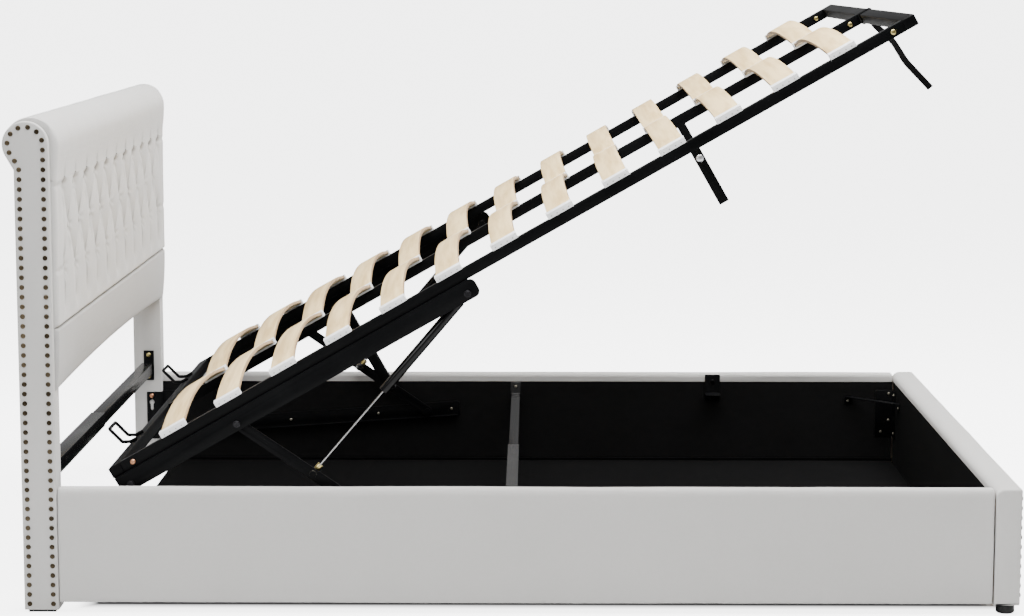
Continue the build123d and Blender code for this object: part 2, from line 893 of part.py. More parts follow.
def cross_plane(side, x):
    """Plane square to the length at x: local x runs outwards on a side, local y up."""
    return Plane(origin=(x, 0, 0), x_dir=(0, side, 0), z_dir=(side, 0, 0))


# Brackets at the head, along the rails and in the foot corners
with BuildPart() as rail_connectors:
    for side, _ in sides:
        with BuildSketch(Plane.XY.offset(connector_bottom)):
            with BuildLine():
                Polyline(
                    (head_x - connector_back, side * leg_inner),
                    (head_x - connector_back, side * (leg_inner - bracket_thickness)),
                    (head_x + bracket_thickness, side * (leg_inner - bracket_thickness)),
                    (head_x + bracket_thickness, side * (lining_face - bracket_thickness)),
                    (head_x + connector_reach, side * (lining_face - bracket_thickness)),
                    (head_x + connector_reach, side * lining_face),
                    (head_x, side * lining_face),
                    (head_x, side * leg_inner),
                    close=True,
                )
            make_face()
        extrude(amount=connector_top - connector_bottom)
        with BuildSketch(side_plane(side, leg_inner - bracket_thickness, leg_inner)):
            with Locations((head_x - keyhole_setback, keyhole_height)):
                Circle(keyhole_radius)
            with Locations((head_x - keyhole_setback, keyhole_height - keyhole_drop / 2)):
                SlotCenterToCenter(keyhole_drop, 2 * keyhole_slot_radius, rotation=90)
        extrude(amount=bracket_thickness, mode=Mode.SUBTRACT)
save(rail_connectors.part, "rail_connectors")

with BuildPart() as rest_brackets:
    for side, _ in sides:
        section = cross_plane(side, head_x + rest_bracket_x - side * rest_bracket_width / 2)
        with BuildSketch(section):
            with BuildLine():
                Polyline(
                    (lining_face, rest_bracket_bottom),
                    (lining_face, rail_top - pad_round),
                    (lining_face, rail_top - rest_bracket_top_gap),
                    (lining_face - bracket_thickness, rail_top - rest_bracket_top_gap),
                    (lining_face - bracket_thickness, mid_bar_top),
                    (lining_face - rest_shelf, mid_bar_top),
                    (lining_face - rest_shelf, mid_bar_top - bracket_thickness),
                    (lining_face - bracket_thickness, mid_bar_top - bracket_thickness),
                    (lining_face - bracket_thickness, rest_bracket_bottom),
                    close=True,
                )
            make_face()
        extrude(amount=rest_bracket_width)
save(rest_brackets.part, "rest_brackets")

brace_middle = brace_reach - brace_width / 2
with BuildPart() as corner_braces:
    for side, _ in sides:
        with BuildSketch(Plane.XY.offset(brace_plate_low)):
            with BuildLine():
                Polyline(
                    (footboard_x, side * lining_face),
                    (footboard_x - brace_plate_width, side * lining_face),
                    (footboard_x - brace_plate_width, side * (lining_face - bracket_thickness)),
                    (footboard_x - bracket_thickness, side * (lining_face - bracket_thickness)),
                    (footboard_x - bracket_thickness, side * (lining_face - brace_plate_width)),
                    (footboard_x, side * (lining_face - brace_plate_width)),
                    close=True,
                )
            make_face()
        extrude(amount=brace_plate_high - brace_plate_low)
        with BuildSketch(Plane.XY.offset(brace_height - bracket_thickness)):
            with BuildLine():
                Polyline(
                    (footboard_x, side * (lining_face - brace_reach)),
                    (footboard_x, side * (lining_face - brace_reach + brace_width)),
                    (footboard_x - brace_reach + brace_width, side * lining_face),
                    (footboard_x - brace_reach, side * lining_face),
                    close=True,
                )
            make_face()
        extrude(amount=bracket_thickness)
        with BuildSketch(Plane.XY.offset(brace_height - bracket_thickness)):
            with Locations((footboard_x - bracket_thickness / 2, side * (lining_face - brace_middle))):
                Rectangle(bracket_thickness, brace_width)
            with Locations((footboard_x - brace_middle, side * (lining_face - bracket_thickness / 2))):
                Rectangle(brace_width, bracket_thickness)
        extrude(amount=-brace_tab_drop)
save(corner_braces.part, "corner_braces")


def inner_plane(side, depth):
    """Plane of a face at a depth across the width, seen from inside: local y is side times height."""
    return Plane(origin=(0, side * depth, 0), x_dir=(1, 0, 0), z_dir=(0, -side, 0))


def bolt_heads(plane, places, radius, height):
    """Hexagon bolt heads standing on a plane, added to the part being built."""
    with BuildSketch(plane) as heads:
        with Locations(*places):
            RegularPolygon(radius, bolt_sides)
    extrude(heads.sketch, amount=height)


def on_side(side, places):
    """Places given from the headboard face and the floor, for an inner plane."""
    return [(head_x + x, side * z) for x, z in places]


# Base bar: an angle steel bolted along each lining, carrying the two ground pivots
bar_rise = atan2(base_pivot[1] - head_pivot[1], base_pivot[0] - head_pivot[0])
bar_along = (cos(bar_rise), sin(bar_rise))
bar_length = hypot(base_pivot[0] - head_pivot[0], base_pivot[1] - head_pivot[1]) + 2 * base_bar_margin


def bar_plane(side, low, high):
    """Side view plane along the base bar: local x runs up the bar from the head pivot."""
    y = -low if side < 0 else high
    return Plane(
        origin=(head_pivot[0], y, head_pivot[1]),
        x_dir=(bar_along[0], 0, bar_along[1]),
        z_dir=(0, -1, 0),
    )


for side, label in sides:
    with BuildPart() as base_bar:
        with BuildSketch(bar_plane(side, base_bar_inner, base_bar_outer)):
            with Locations((bar_length / 2 - base_bar_margin, 0)):
                RectangleRounded(bar_length, base_bar_height, base_bar_round)
        extrude(amount=base_bar_wall)
        with BuildSketch(bar_plane(side, base_bar_inner - base_bar_lip, base_bar_outer)):
            with Locations((bar_length / 2 - base_bar_margin, base_bar_wall / 2 - base_bar_height / 2)):
                Rectangle(bar_length - 2 * base_bar_round, base_bar_wall)
        extrude(amount=base_bar_lip + base_bar_wall)
        pivots = [(0, 0), (hypot(base_pivot[0] - head_pivot[0], base_pivot[1] - head_pivot[1]), 0)]
        with BuildSketch(bar_plane(side, link_outer + layer_gap, base_bar_inner)):
            with Locations(*pivots):
                Circle(rivet_radius)
        extrude(amount=base_bar_inner - link_outer - layer_gap)
        with BuildSketch(bar_plane(side, link_inner - seam_gap, link_outer + layer_gap)):
            with Locations(*pivots):
                Circle(pin_radius)
        extrude(amount=link_outer + layer_gap - link_inner + seam_gap)
        with BuildSketch(bar_plane(side, link_inner - seam_gap - rivet_height, link_inner - seam_gap)):
            with Locations(*pivots):
                Circle(rivet_radius)
        extrude(amount=rivet_height)
    save(base_bar.part, f"base_bar_{label}")

bar_bolt_places = [
    (
        head_pivot[0] + bar_along[0] * (bar_length * share - base_bar_margin),
        head_pivot[1] + bar_along[1] * (bar_length * share - base_bar_margin),
    )
    for share in base_bar_bolt_shares
]

with BuildPart() as base_bolts:
    foot_end = rail_length + joint_gap
    brace_tab_height = brace_height - bracket_thickness - brace_tab_drop / 2
    plate_x = -head_bar_front - head_plate_width / 2
    post_plate_places = [
        (plate_x, head_plate_centre + head_plate_bolt_rise),
        (plate_x, head_plate_centre - head_plate_bolt_rise),
        (-keyhole_setback, connector_top - connector_bolt_margin),
    ]
    connector_heights = [
        connector_bottom + (connector_top - connector_bottom) * share for share in connector_bolt_shares
    ]
    bracket_places = [
        *[(connector_reach / 2, height) for height in connector_heights],
        (mid_bar_x, mid_bar_bolt_height),
        (rest_bracket_x, rest_bolt_high),
        (rest_bracket_x, rest_bolt_low),
        (foot_end - brace_bolt_near, brace_bolt_high),
        (foot_end - brace_bolt_near, brace_bolt_mid),
        (foot_end - brace_bolt_far, brace_bolt_low),
        (foot_end - brace_middle, brace_tab_height),
    ]
    for side, _ in sides:
        post_face = inner_plane(side, leg_inner - bracket_thickness)
        bolt_heads(post_face, on_side(side, post_plate_places), bolt_head_radius, bolt_head_height)
        rail_face = inner_plane(side, lining_face - bracket_thickness)
        bolt_heads(rail_face, on_side(side, bracket_places), bolt_head_radius, bolt_head_height)
        bar_face = inner_plane(side, base_bar_inner)
        bar_places = [(x, side * z) for x, z in bar_bolt_places]
        bolt_heads(bar_face, bar_places, bolt_head_radius, bolt_head_height)
        foot_origin = (footboard_x - bracket_thickness, 0, 0)
        foot_face = Plane(origin=foot_origin, x_dir=(0, side, 0), z_dir=(-1, 0, 0))
        foot_places = [
            (lining_face - brace_bolt_far, -side * brace_bolt_high),
            (lining_face - brace_bolt_far, -side * brace_bolt_low),
            (lining_face - brace_middle, -side * brace_tab_height),
        ]
        bolt_heads(foot_face, foot_places, bolt_head_radius, bolt_head_height)
save(base_bolts.part, "base_bolts")


# Platform frame: square tubes lengthwise between two wider end rails
tube_low = end_rail_width
tube_length = deck_length - 2 * end_rail_width
tube_places = {
    "left": -(deck_half_width - tube_size / 2),
    "centre": 0,
    "right": deck_half_width - tube_size / 2,
}


def hollow(width, height, wall):
    """Section of a rectangular steel tube, for the sketch being built."""
    Rectangle(width, height)
    Rectangle(width - 2 * wall, height - 2 * wall, mode=Mode.SUBTRACT)


for label, y in tube_places.items():
    with BuildPart() as deck_rail:
        with BuildSketch(deck_section(tube_low)):
            with Locations((y, -tube_size / 2)):
                hollow(tube_size, tube_size, tube_wall)
        extrude(amount=tube_length)
        if label == "centre":
            for station in leg_stations:
                with BuildSketch(deck_plane(-tube_size)):
                    with Locations((station, 0)):
                        hollow(stub_size, stub_size, tube_wall)
                extrude(amount=-leg_stub_length)
    save(deck_rail.part, f"deck_rail_{label}")

for label, station in (("head", end_rail_width / 2), ("foot", deck_length - end_rail_width / 2)):
    with BuildPart() as end_rail:
        with BuildSketch(deck_side(1, -deck_half_width, deck_half_width)):
            with Locations((station, -tube_size / 2)):
                Rectangle(end_rail_width, tube_size)
        extrude(amount=2 * deck_half_width)
        with BuildSketch(deck_side(1, -deck_half_width, deck_half_width - tube_wall)):
            with Locations((station, -tube_size / 2)):
                Rectangle(end_rail_width - 2 * tube_wall, tube_size - 2 * tube_wall)
        extrude(amount=2 * (deck_half_width - tube_wall), mode=Mode.SUBTRACT)
    save(end_rail.part, f"deck_end_rail_{label}")


# Slats: bowed strips whose ends sit in caps on the rails
slat_inner = slat_end_gap
slat_outer = deck_half_width - slat_end_gap
slat_middle = (slat_inner + slat_outer) / 2
slat_stations = [slat_margin + row * slat_pitch for row in range(slat_rows)]


def bow(side, lift, thickness):
    """Outline of a bowed strip seen along the platform, for the line being built."""
    low = [(side * slat_inner, lift), (side * slat_middle, lift + slat_crown), (side * slat_outer, lift)]
    high = [(y, z + thickness) for y, z in low]
    ThreePointArc(*low)
    ThreePointArc(*high)
    Line(low[0], high[0])
    Line(low[2], high[2])


def along_deck(stations):
    """Shifts that carry a piece from the platform's head to each station."""
    return [Location((station * deck_cos, 0, station * deck_sin)) for station in stations]


for side, label in sides:
    with BuildPart() as slat:
        with BuildSketch(deck_section(-slat_width / 2)):
            with BuildLine():
                bow(side, slat_seat, slat_thickness)
            make_face()
        extrude(amount=slat_width)
    with BuildPart() as slats:
        with Locations(*along_deck(slat_stations)):
            add(slat.part)
    save(slats.part, f"slats_{label}")


def slat_pocket(side):
    """Room for a slat's end and its clearance, cut from the cap being built."""
    with BuildSketch(deck_section(-slat_width / 2 - cap_clearance)) as room:
        with BuildLine():
            bow(side, slat_seat - cap_clearance, slat_thickness + 2 * cap_clearance)
        make_face()
        for end in (slat_inner, slat_outer):
            with Locations((side * end, slat_seat + slat_thickness / 2)):
                Rectangle(2 * cap_clearance, slat_thickness + 2 * cap_clearance)
    extrude(room.sketch, amount=slat_width + 2 * cap_clearance, mode=Mode.SUBTRACT)


with BuildPart() as cap_pair:
    for side, _ in sides:
        with BuildSketch(deck_section(-cap_width / 2)):
            with BuildLine():
                Polyline(
                    (side * deck_half_width, 0),
                    (side * deck_half_width, cap_height),
                    (side * (deck_half_width - cap_length), cap_height + cap_rise),
                    (side * (deck_half_width - cap_length), 0),
                    close=True,
                )
            make_face()
        extrude(amount=cap_width)
        slat_pocket(side)

with BuildPart() as slat_caps_side:
    with Locations(*along_deck(slat_stations)):
        add(cap_pair.part)
save(slat_caps_side.part, "slat_caps_side")

with BuildPart() as double_cap:
    with BuildSketch(deck_section(-cap_width / 2)):
        with BuildLine():
            Polyline(
                (-cap_length, 0),
                (-cap_length, cap_height + cap_rise),
                (0, cap_height),
                (cap_length, cap_height + cap_rise),
                (cap_length, 0),
                close=True,
            )
        make_face()
    extrude(amount=cap_width)
    for side, _ in sides:
        slat_pocket(side)

with BuildPart() as slat_caps_centre:
    with Locations(*along_deck(slat_stations)):
        add(double_cap.part)
save(slat_caps_centre.part, "slat_caps_centre")


# Mattress retainers: bent wire hoops standing on the head end rail
with BuildPart() as retainers:
    for side, _ in sides:
        retainer_y = deck_half_width * retainer_share
        inner = side * (retainer_y - retainer_half_width)
        outer = side * (retainer_y + retainer_half_width)
        route = []
        for y in (inner, outer):
            legs = [
                (retainer_station, retainer_wire_radius + seam_gap),
                (retainer_bend_station, retainer_wire_radius + seam_gap),
                (retainer_knee_station, retainer_knee_height),
                (retainer_tip_station, retainer_tip_height),
            ]
            points = [(*deck_point(*leg), y) for leg in legs]
            run = [(x, across, z) for x, z, across in points]
            route += run if y == inner else run[::-1]
        with BuildLine() as wire:
            FilletPolyline(*route, radius=retainer_bend_radius)
        with BuildSketch(Plane(origin=wire.line @ 0, z_dir=wire.line % 0)):
            Circle(retainer_wire_radius)
        sweep(transition=Transition.TRANSFORMED)
save(retainers.part, "mattress_retainers")

with BuildPart() as centre_legs:
    for station in leg_stations:
        with BuildSketch(deck_plane(-tube_size - leg_stub_length + leg_overlap)):
            with Locations((station, 0)):
                hollow(leg_size, leg_size, tube_wall)
        extrude(amount=leg_stub_length - leg_overlap - leg_length)
save(centre_legs.part, "centre_legs")


# Pull strap: webbing looped round the foot end rail, with a tail hanging from it
loop_station = deck_length - end_rail_width / 2
loop_height = -tube_size / 2
with BuildPart() as pull_strap:
    with BuildSketch(deck_side(1, strap_y - strap_width / 2, strap_y + strap_width / 2)):
        with Locations((loop_station, loop_height)):
            Rectangle(end_rail_width + 2 * strap_fold, tube_size + 2 * strap_fold)
            Rectangle(end_rail_width + 2 * seam_gap, tube_size + 2 * seam_gap, mode=Mode.SUBTRACT)
    extrude(amount=strap_width)
    with BuildSketch(deck_side(1, strap_y - strap_thickness / 2, strap_y + strap_thickness / 2)):
        with BuildLine():
            FilletPolyline(
                (deck_length - strap_tail_width / 2, -tube_size - strap_fold / 2),
                (deck_length - strap_tail_width / 2, -tube_size - strap_tail_width),
                (deck_length + strap_knee_reach, -tube_size - strap_knee_drop),
                (deck_length + strap_waist_reach, -tube_size - strap_waist_drop),
                (deck_length + strap_tip_reach, -tube_size - strap_tip_drop),
                radius=strap_bend_radius,
            )
        trace(line_width=strap_tail_width)
    extrude(amount=strap_thickness)
save(pull_strap.part, "pull_strap")


# Platform arms: angle steels under the side rails that carry the upper pivots
for side, label in sides:
    with BuildPart() as arm:
        with BuildSketch(deck_side(side, arm_inner, arm_outer)) as web:
            with Locations((arm_start + arm_length / 2, -tube_size - arm_height / 2)):
                Rectangle(arm_length, arm_height)
            fillet(web.vertices().group_by(Axis.X)[-1], arm_tip_radius)
        extrude(amount=arm_wall)
        with BuildSketch(deck_side(side, arm_outer - arm_flange, arm_outer)):
            with Locations((arm_start + (arm_length - arm_tip_radius) / 2, -tube_size - arm_wall / 2)):
                Rectangle(arm_length - arm_tip_radius, arm_wall)
        extrude(amount=arm_flange)
        pivot_stations = (head_link_station, long_link_station, strut_station)
        heads = [(station, -pivot_line_depth) for station in pivot_stations]
        with BuildSketch(deck_side(side, arm_outer, arm_outer + rivet_height)):
            with Locations(*heads):
                Circle(rivet_radius)
        extrude(amount=rivet_height)
        for station, reach in ((long_link_station, link_inner - seam_gap), (strut_station, strut_pin_end)):
            with BuildSketch(deck_side(side, reach, arm_inner)):
                with Locations((station, -pivot_line_depth)):
                    Circle(pin_radius)
            extrude(amount=arm_inner - reach)
            with BuildSketch(deck_side(side, reach - rivet_height, reach)):
                with Locations((station, -pivot_line_depth)):
                    Circle(rivet_radius)
            extrude(amount=rivet_height)
    save(arm.part, f"deck_arm_{label}")


# Links between the base bar and the arm
def link_plane(side, start, end, low, high):
    """Side view plane with local x running from the start pivot to the end pivot."""
    length = hypot(end[0] - start[0], end[1] - start[1])
    y = -low if side < 0 else high
    x_dir = ((end[0] - start[0]) / length, 0, (end[1] - start[1]) / length)
    return Plane(origin=(start[0], y, start[1]), x_dir=x_dir, z_dir=(0, -1, 0))


for side, label in sides:
    with BuildPart() as long_link:
        with BuildSketch(link_plane(side, base_pivot, long_link_top, link_inner, link_outer)):
            with Locations((long_link_length / 2, 0)):
                SlotCenterToCenter(long_link_length, link_width)
            with Locations((0, 0), (long_link_length, 0)):
                Circle(pin_radius + pin_clearance, mode=Mode.SUBTRACT)
        extrude(amount=link_thickness)
        stud_length = link_inner - strut_centre - eye_thickness / 2 - seam_gap
        with BuildSketch(link_plane(side, base_pivot, long_link_top, link_inner - stud_length, link_inner)):
            with Locations((long_link_length - strut_stud_reach, 0)):
                Circle(pin_radius + layer_gap)
        extrude(amount=stud_length)
        with BuildSketch(link_plane(side, base_pivot, long_link_top, link_outer, link_outer + layer_gap)):
            with Locations((long_link_length - strut_stud_reach, 0)):
                Circle(rivet_radius)
        extrude(amount=layer_gap)
    save(long_link.part, f"long_link_{label}")
    with BuildPart() as head_link:
        with BuildSketch(link_plane(side, head_pivot, head_link_top, link_inner, link_outer)):
            with Locations((head_link_length / 2, 0)):
                SlotCenterToCenter(head_link_length, link_width)
            Circle(pin_radius + pin_clearance, mode=Mode.SUBTRACT)
        extrude(amount=link_thickness)
        rivet_start = link_inner - rivet_height
        with BuildSketch(link_plane(side, head_pivot, head_link_top, rivet_start, link_inner)):
            with Locations((head_link_length, 0)):
                Circle(rivet_radius)
        extrude(amount=rivet_height)
    save(head_link.part, f"head_link_{label}")


# Gas struts: a cylinder hung from the arm and a rod that slides in it
def strut_frame(side, distance):
    """Plane square to the strut at a distance from its upper pivot, facing down the strut."""
    run = stud_point[0] - strut_top[0]
    drop = stud_point[1] - strut_top[1]
    along = (run / strut_open_length, 0, drop / strut_open_length)
    origin = (strut_top[0] + along[0] * distance, side * strut_centre, strut_top[1] + along[2] * distance)
    return Plane(origin=origin, x_dir=(0, 1, 0), z_dir=along)


def strut_eye(side, distance, neck_start, neck_length, hole):
    """Flat eye with its neck along the strut, added to the part being built."""
    low = strut_centre - eye_thickness / 2
    high = strut_centre + eye_thickness / 2
    plane = link_plane(side, strut_top, stud_point, low, high)
    with BuildSketch(plane) as eye:
        with Locations((distance, 0)):
            Circle(eye_radius)
        with Locations((neck_start + neck_length / 2, 0)):
            Rectangle(neck_length, eye_thickness)
        if hole:
            with Locations((distance, 0)):
                Circle(hole, mode=Mode.SUBTRACT)
    extrude(eye.sketch, amount=eye_thickness)


cylinder_end = eye_neck + strut_cylinder_length
bore_radius = strut_cylinder_radius - cylinder_wall
piston_start = cylinder_end - strut_collar_length - piston_back
for side, label in sides:
    with BuildPart() as gas_cylinder:
        with BuildSketch(strut_frame(side, eye_neck)):
            Circle(strut_cylinder_radius)
        extrude(amount=strut_cylinder_length)
        chamfer(gas_cylinder.edges().filter_by(GeomType.CIRCLE), cylinder_edge)
        strut_eye(side, 0, 0, eye_neck + cylinder_edge, pin_radius + pin_clearance)
        with BuildSketch(strut_frame(side, eye_neck + cylinder_wall)):
            Circle(bore_radius)
        extrude(amount=strut_cylinder_length - cylinder_wall - strut_collar_length, mode=Mode.SUBTRACT)
        with BuildSketch(strut_frame(side, eye_neck + cylinder_wall)):
            Circle(strut_rod_radius + pin_clearance)
        extrude(amount=strut_cylinder_length, mode=Mode.SUBTRACT)
    save(gas_cylinder.part, f"gas_cylinder_{label}")
    with BuildPart() as gas_rod:
        with BuildSketch(strut_frame(side, piston_start)):
            Circle(bore_radius - pin_clearance)
        extrude(amount=piston_length)
        with BuildSketch(strut_frame(side, piston_start)):
            Circle(strut_rod_radius)
        extrude(amount=strut_open_length - rod_tip_neck - piston_start)
        with BuildSketch(strut_frame(side, strut_open_length - rod_tip_neck)):
            Circle(strut_collar_radius)
        extrude(amount=rod_tip_neck - eye_radius)
        strut_eye(side, strut_open_length, strut_open_length - eye_radius, eye_radius, 0)
    save(gas_rod.part, f"gas_rod_{label}")


# Bolts of the platform: at the rail ends, through the centre legs and up through the arms
with BuildPart() as deck_bolts:
    bolt_ends = (end_bolt_inset, deck_length - end_bolt_inset)
    bolt_stations = [(station, -end_bolt_depth) for station in bolt_ends]
    leg_bolts = [(station, -tube_size - leg_bolt_depth) for station in leg_stations]
    faces = [deck_half_width, deck_half_width - tube_size - bolt_head_height]
    for side, _ in sides:
        for depth in faces:
            with BuildSketch(deck_side(side, depth, depth + bolt_head_height)):
                with Locations(*bolt_stations):
                    RegularPolygon(bolt_head_radius, bolt_sides)
            extrude(amount=bolt_head_height)
        with BuildSketch(deck_side(side, tube_size / 2, tube_size / 2 + bolt_head_height)):
            with Locations(*bolt_stations):
                RegularPolygon(bolt_head_radius, bolt_sides)
        extrude(amount=bolt_head_height)
        with BuildSketch(deck_side(side, leg_size / 2, leg_size / 2 + bolt_head_height)):
            with Locations(*leg_bolts):
                Circle(leg_bolt_radius)
        extrude(amount=bolt_head_height)
save(deck_bolts.part, "deck_bolts")
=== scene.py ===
# %% [markdown]
# # A storage bed, dressed around its measured frame
# The bed was modelled first as exact solids. This file loads them, hangs softer and finer
# pieces on them, gives each one a finish, and sets up the studio. Lengths are in metres.
# The solids stay where they are, so a piece is placed by reading the box of the solid it covers.

# %% Load the frame
import json
import math

import bmesh
import bpy
import numpy as np
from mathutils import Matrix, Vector, noise

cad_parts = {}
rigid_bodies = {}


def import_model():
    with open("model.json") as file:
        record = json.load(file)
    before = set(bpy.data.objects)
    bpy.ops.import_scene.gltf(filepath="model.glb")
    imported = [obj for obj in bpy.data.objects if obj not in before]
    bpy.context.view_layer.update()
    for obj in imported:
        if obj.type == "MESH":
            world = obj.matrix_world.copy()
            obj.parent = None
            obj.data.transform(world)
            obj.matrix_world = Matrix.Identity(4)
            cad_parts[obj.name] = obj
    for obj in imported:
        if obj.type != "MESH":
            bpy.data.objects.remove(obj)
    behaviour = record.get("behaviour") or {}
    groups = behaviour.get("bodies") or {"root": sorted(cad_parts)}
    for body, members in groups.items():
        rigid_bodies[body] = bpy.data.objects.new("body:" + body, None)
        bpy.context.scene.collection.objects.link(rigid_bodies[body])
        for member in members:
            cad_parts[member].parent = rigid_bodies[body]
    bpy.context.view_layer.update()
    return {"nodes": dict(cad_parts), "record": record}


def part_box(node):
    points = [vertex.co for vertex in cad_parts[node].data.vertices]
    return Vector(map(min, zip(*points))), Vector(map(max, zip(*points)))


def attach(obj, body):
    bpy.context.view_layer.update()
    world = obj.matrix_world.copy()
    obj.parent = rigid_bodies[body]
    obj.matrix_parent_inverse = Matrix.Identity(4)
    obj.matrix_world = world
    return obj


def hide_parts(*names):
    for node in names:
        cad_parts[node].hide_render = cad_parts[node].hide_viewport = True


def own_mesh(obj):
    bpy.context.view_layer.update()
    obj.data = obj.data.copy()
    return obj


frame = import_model()
mm = 0.001

# %% [markdown]
# ## The camera
# The photograph was taken from the left side with a long lens, from a little higher than the
# raised platform. The lens and the place were worked out from the straight edges of the bed, so
# they are set as numbers. A long lens keeps the far side nearly as large as the near one.

# %% Camera
camera_place = Vector((0.0368, -6.2613, 1.4032))
camera_pitch = 0.13258
camera_yaw = -0.00858
lens_length = 89.29
film_width = 36
view_reach = 1000
looking = Vector((
    math.cos(camera_pitch) * math.sin(camera_yaw),
    math.cos(camera_pitch) * math.cos(camera_yaw),
    -math.sin(camera_pitch),
))
camera_data = bpy.data.cameras.new("studio_camera")
camera_data.sensor_width = film_width
camera_data.lens = lens_length
camera_data.clip_end = view_reach
camera = bpy.data.objects.new("studio_camera", camera_data)
camera.location = camera_place
camera.rotation_euler = looking.to_track_quat("-Z", "Y").to_euler()
bpy.context.collection.objects.link(camera)
bpy.context.scene.camera = camera
print("camera looks along", [round(v, 3) for v in looking])

# %% [markdown]
# ## The studio
# A product photograph of pale upholstery is lit by large soft lamps, so that nothing has a hard
# shadow: one lamp overhead, one on the camera's side that looks at the headboard, a weak one past
# the foot end, and a white room that fills the rest. The floor is pale and plain.

# %% Floor, lamps and room
def finish_of(name, color, roughness):
    material = bpy.data.materials.new(name)
    material.use_nodes = True
    shader = material.node_tree.nodes["Principled BSDF"]
    shader.inputs["Base Color"].default_value = (*color, 1)
    shader.inputs["Roughness"].default_value = roughness
    return material, shader


floor_size = 600.0
floor_grey = 0.72
floor_roughness = 0.9
room_light = 0.42
bpy.ops.mesh.primitive_plane_add(size=floor_size, location=(0, 0, 0))
studio_floor = bpy.context.object
studio_floor.name = "studio_floor"
floor_finish, floor_shader = finish_of("studio floor paint", (floor_grey,) * 3, floor_roughness)
floor_shader.inputs["Emission Color"].default_value = (1, 1, 1, 1)
studio_floor.data.materials.append(floor_finish)


def soft_lamp(name, place, aim, size, power):
    data = bpy.data.lights.new(name, "AREA")
    data.shape = "RECTANGLE"
    data.size, data.size_y = size
    data.energy = power
    lamp = bpy.data.objects.new(name, data)
    lamp.location = place
    lamp.rotation_euler = (Vector(aim) - Vector(place)).to_track_quat("-Z", "Y").to_euler()
    bpy.context.collection.objects.link(lamp)


lamps = {
    "overhead_lamp": {"place": (0.6, -0.4, 4.2), "aim": (0.3, 0, 0.4), "size": (5.0, 3.6), "power": 820},
    "front_lamp": {"place": (-3.4, -4.2, 2.7), "aim": (-1.0, 0, 0.8), "size": (2.6, 2.2), "power": 104},
    "foot_lamp": {"place": (4.6, -2.0, 2.4), "aim": (-0.6, 0, 0.7), "size": (2.6, 2.6), "power": 15},
}
for name, lamp in lamps.items():
    soft_lamp(name, **lamp)
room = bpy.data.worlds.new("white_room")
room.use_nodes = True
room.node_tree.nodes["Background"].inputs["Color"].default_value = (1, 1, 1, 1)
room.node_tree.nodes["Background"].inputs["Strength"].default_value = room_light
bpy.context.scene.world = room
print("lamps", list(lamps))

# %% [markdown]
# ## Effects that several finishes share
# Weave, grain and grit show on many pieces at different scales. Each is a node group with named
# inputs, made once, so every finish can place it with its own values. The groups work from object
# coordinates, which are metres here, so a pitch in the real cloth can be written as it is.

# %% Helpers for node groups
def effect_group(name, inputs, outputs):
    group = bpy.data.node_groups.new(name, "ShaderNodeTree")
    for label, value in inputs.items():
        socket = group.interface.new_socket(label, in_out="INPUT", socket_type="NodeSocketFloat")
        socket.default_value = value
    for label in outputs:
        group.interface.new_socket(label, in_out="OUTPUT", socket_type="NodeSocketFloat")
    ends = group.nodes.new("NodeGroupInput"), group.nodes.new("NodeGroupOutput")
    return group, *ends


def math_node(group, operation, *values):
    node = group.nodes.new("ShaderNodeMath")
    node.operation = operation
    for socket, value in zip(node.inputs, values):
        if isinstance(value, (int, float)):
            socket.default_value = value
        else:
            group.links.new(value, socket)
    return node.outputs[0]


def noise_node(group, vector, scale, detail, roughness=0.5):
    node = group.nodes.new("ShaderNodeTexNoise")
    node.inputs["Detail"].default_value = detail
    node.inputs["Roughness"].default_value = roughness
    if isinstance(scale, (int, float)):
        node.inputs["Scale"].default_value = scale
    else:
        group.links.new(scale, node.inputs["Scale"])
    group.links.new(vector, node.inputs["Vector"])
    return node.outputs[0]


def object_axes(group):
    """The place on the object, whole and split into its three axes."""
    place = group.nodes.new("ShaderNodeTexCoord").outputs["Object"]
    split = group.nodes.new("ShaderNodeSeparateXYZ")
    group.links.new(place, split.inputs[0])
    return place, split.outputs


# %% Woven cloth group
weave_group, weave_in, weave_out = effect_group(
    "woven cloth", {"Pitch": 1.3, "Mottle": 1.0}, ["Height", "Tone"]
)
thread_share = 0.25
slub_scale, patch_scale, fleck_scale = 420.0, 6.5, 95.0
patch_share, fleck_share = 0.5, 0.35
middle_tone = 0.5
weave_place, weave_axes = object_axes(weave_group)
turns_per_metre = math_node(weave_group, "DIVIDE", 2 * math.pi / mm, weave_in.outputs["Pitch"])
threads = [
    math_node(weave_group, "SINE", math_node(weave_group, "MULTIPLY", axis, turns_per_metre))
    for axis in weave_axes
]
two_threads = math_node(weave_group, "ADD", threads[0], threads[1])
thread_sum = math_node(weave_group, "ADD", two_threads, threads[2])
thread_height = math_node(weave_group, "MULTIPLY", thread_sum, thread_share)
slub = noise_node(weave_group, weave_place, slub_scale, detail=2.0)
cloth_height = math_node(weave_group, "ADD", thread_height, slub)
weave_group.links.new(cloth_height, weave_out.inputs["Height"])
patches = noise_node(weave_group, weave_place, patch_scale, detail=5.0, roughness=0.62)
flecks = noise_node(weave_group, weave_place, fleck_scale, detail=3.0, roughness=0.7)
patch_offset = math_node(weave_group, "SUBTRACT", patches, middle_tone)
fleck_offset = math_node(weave_group, "SUBTRACT", flecks, middle_tone)
patch_tone = math_node(weave_group, "MULTIPLY", patch_offset, patch_share)
fleck_tone = math_node(weave_group, "MULTIPLY", fleck_offset, fleck_share)
tone_sum = math_node(weave_group, "ADD", patch_tone, fleck_tone)
mottle = math_node(weave_group, "MULTIPLY", tone_sum, weave_in.outputs["Mottle"])
weave_group.links.new(math_node(weave_group, "ADD", mottle, middle_tone), weave_out.inputs["Tone"])

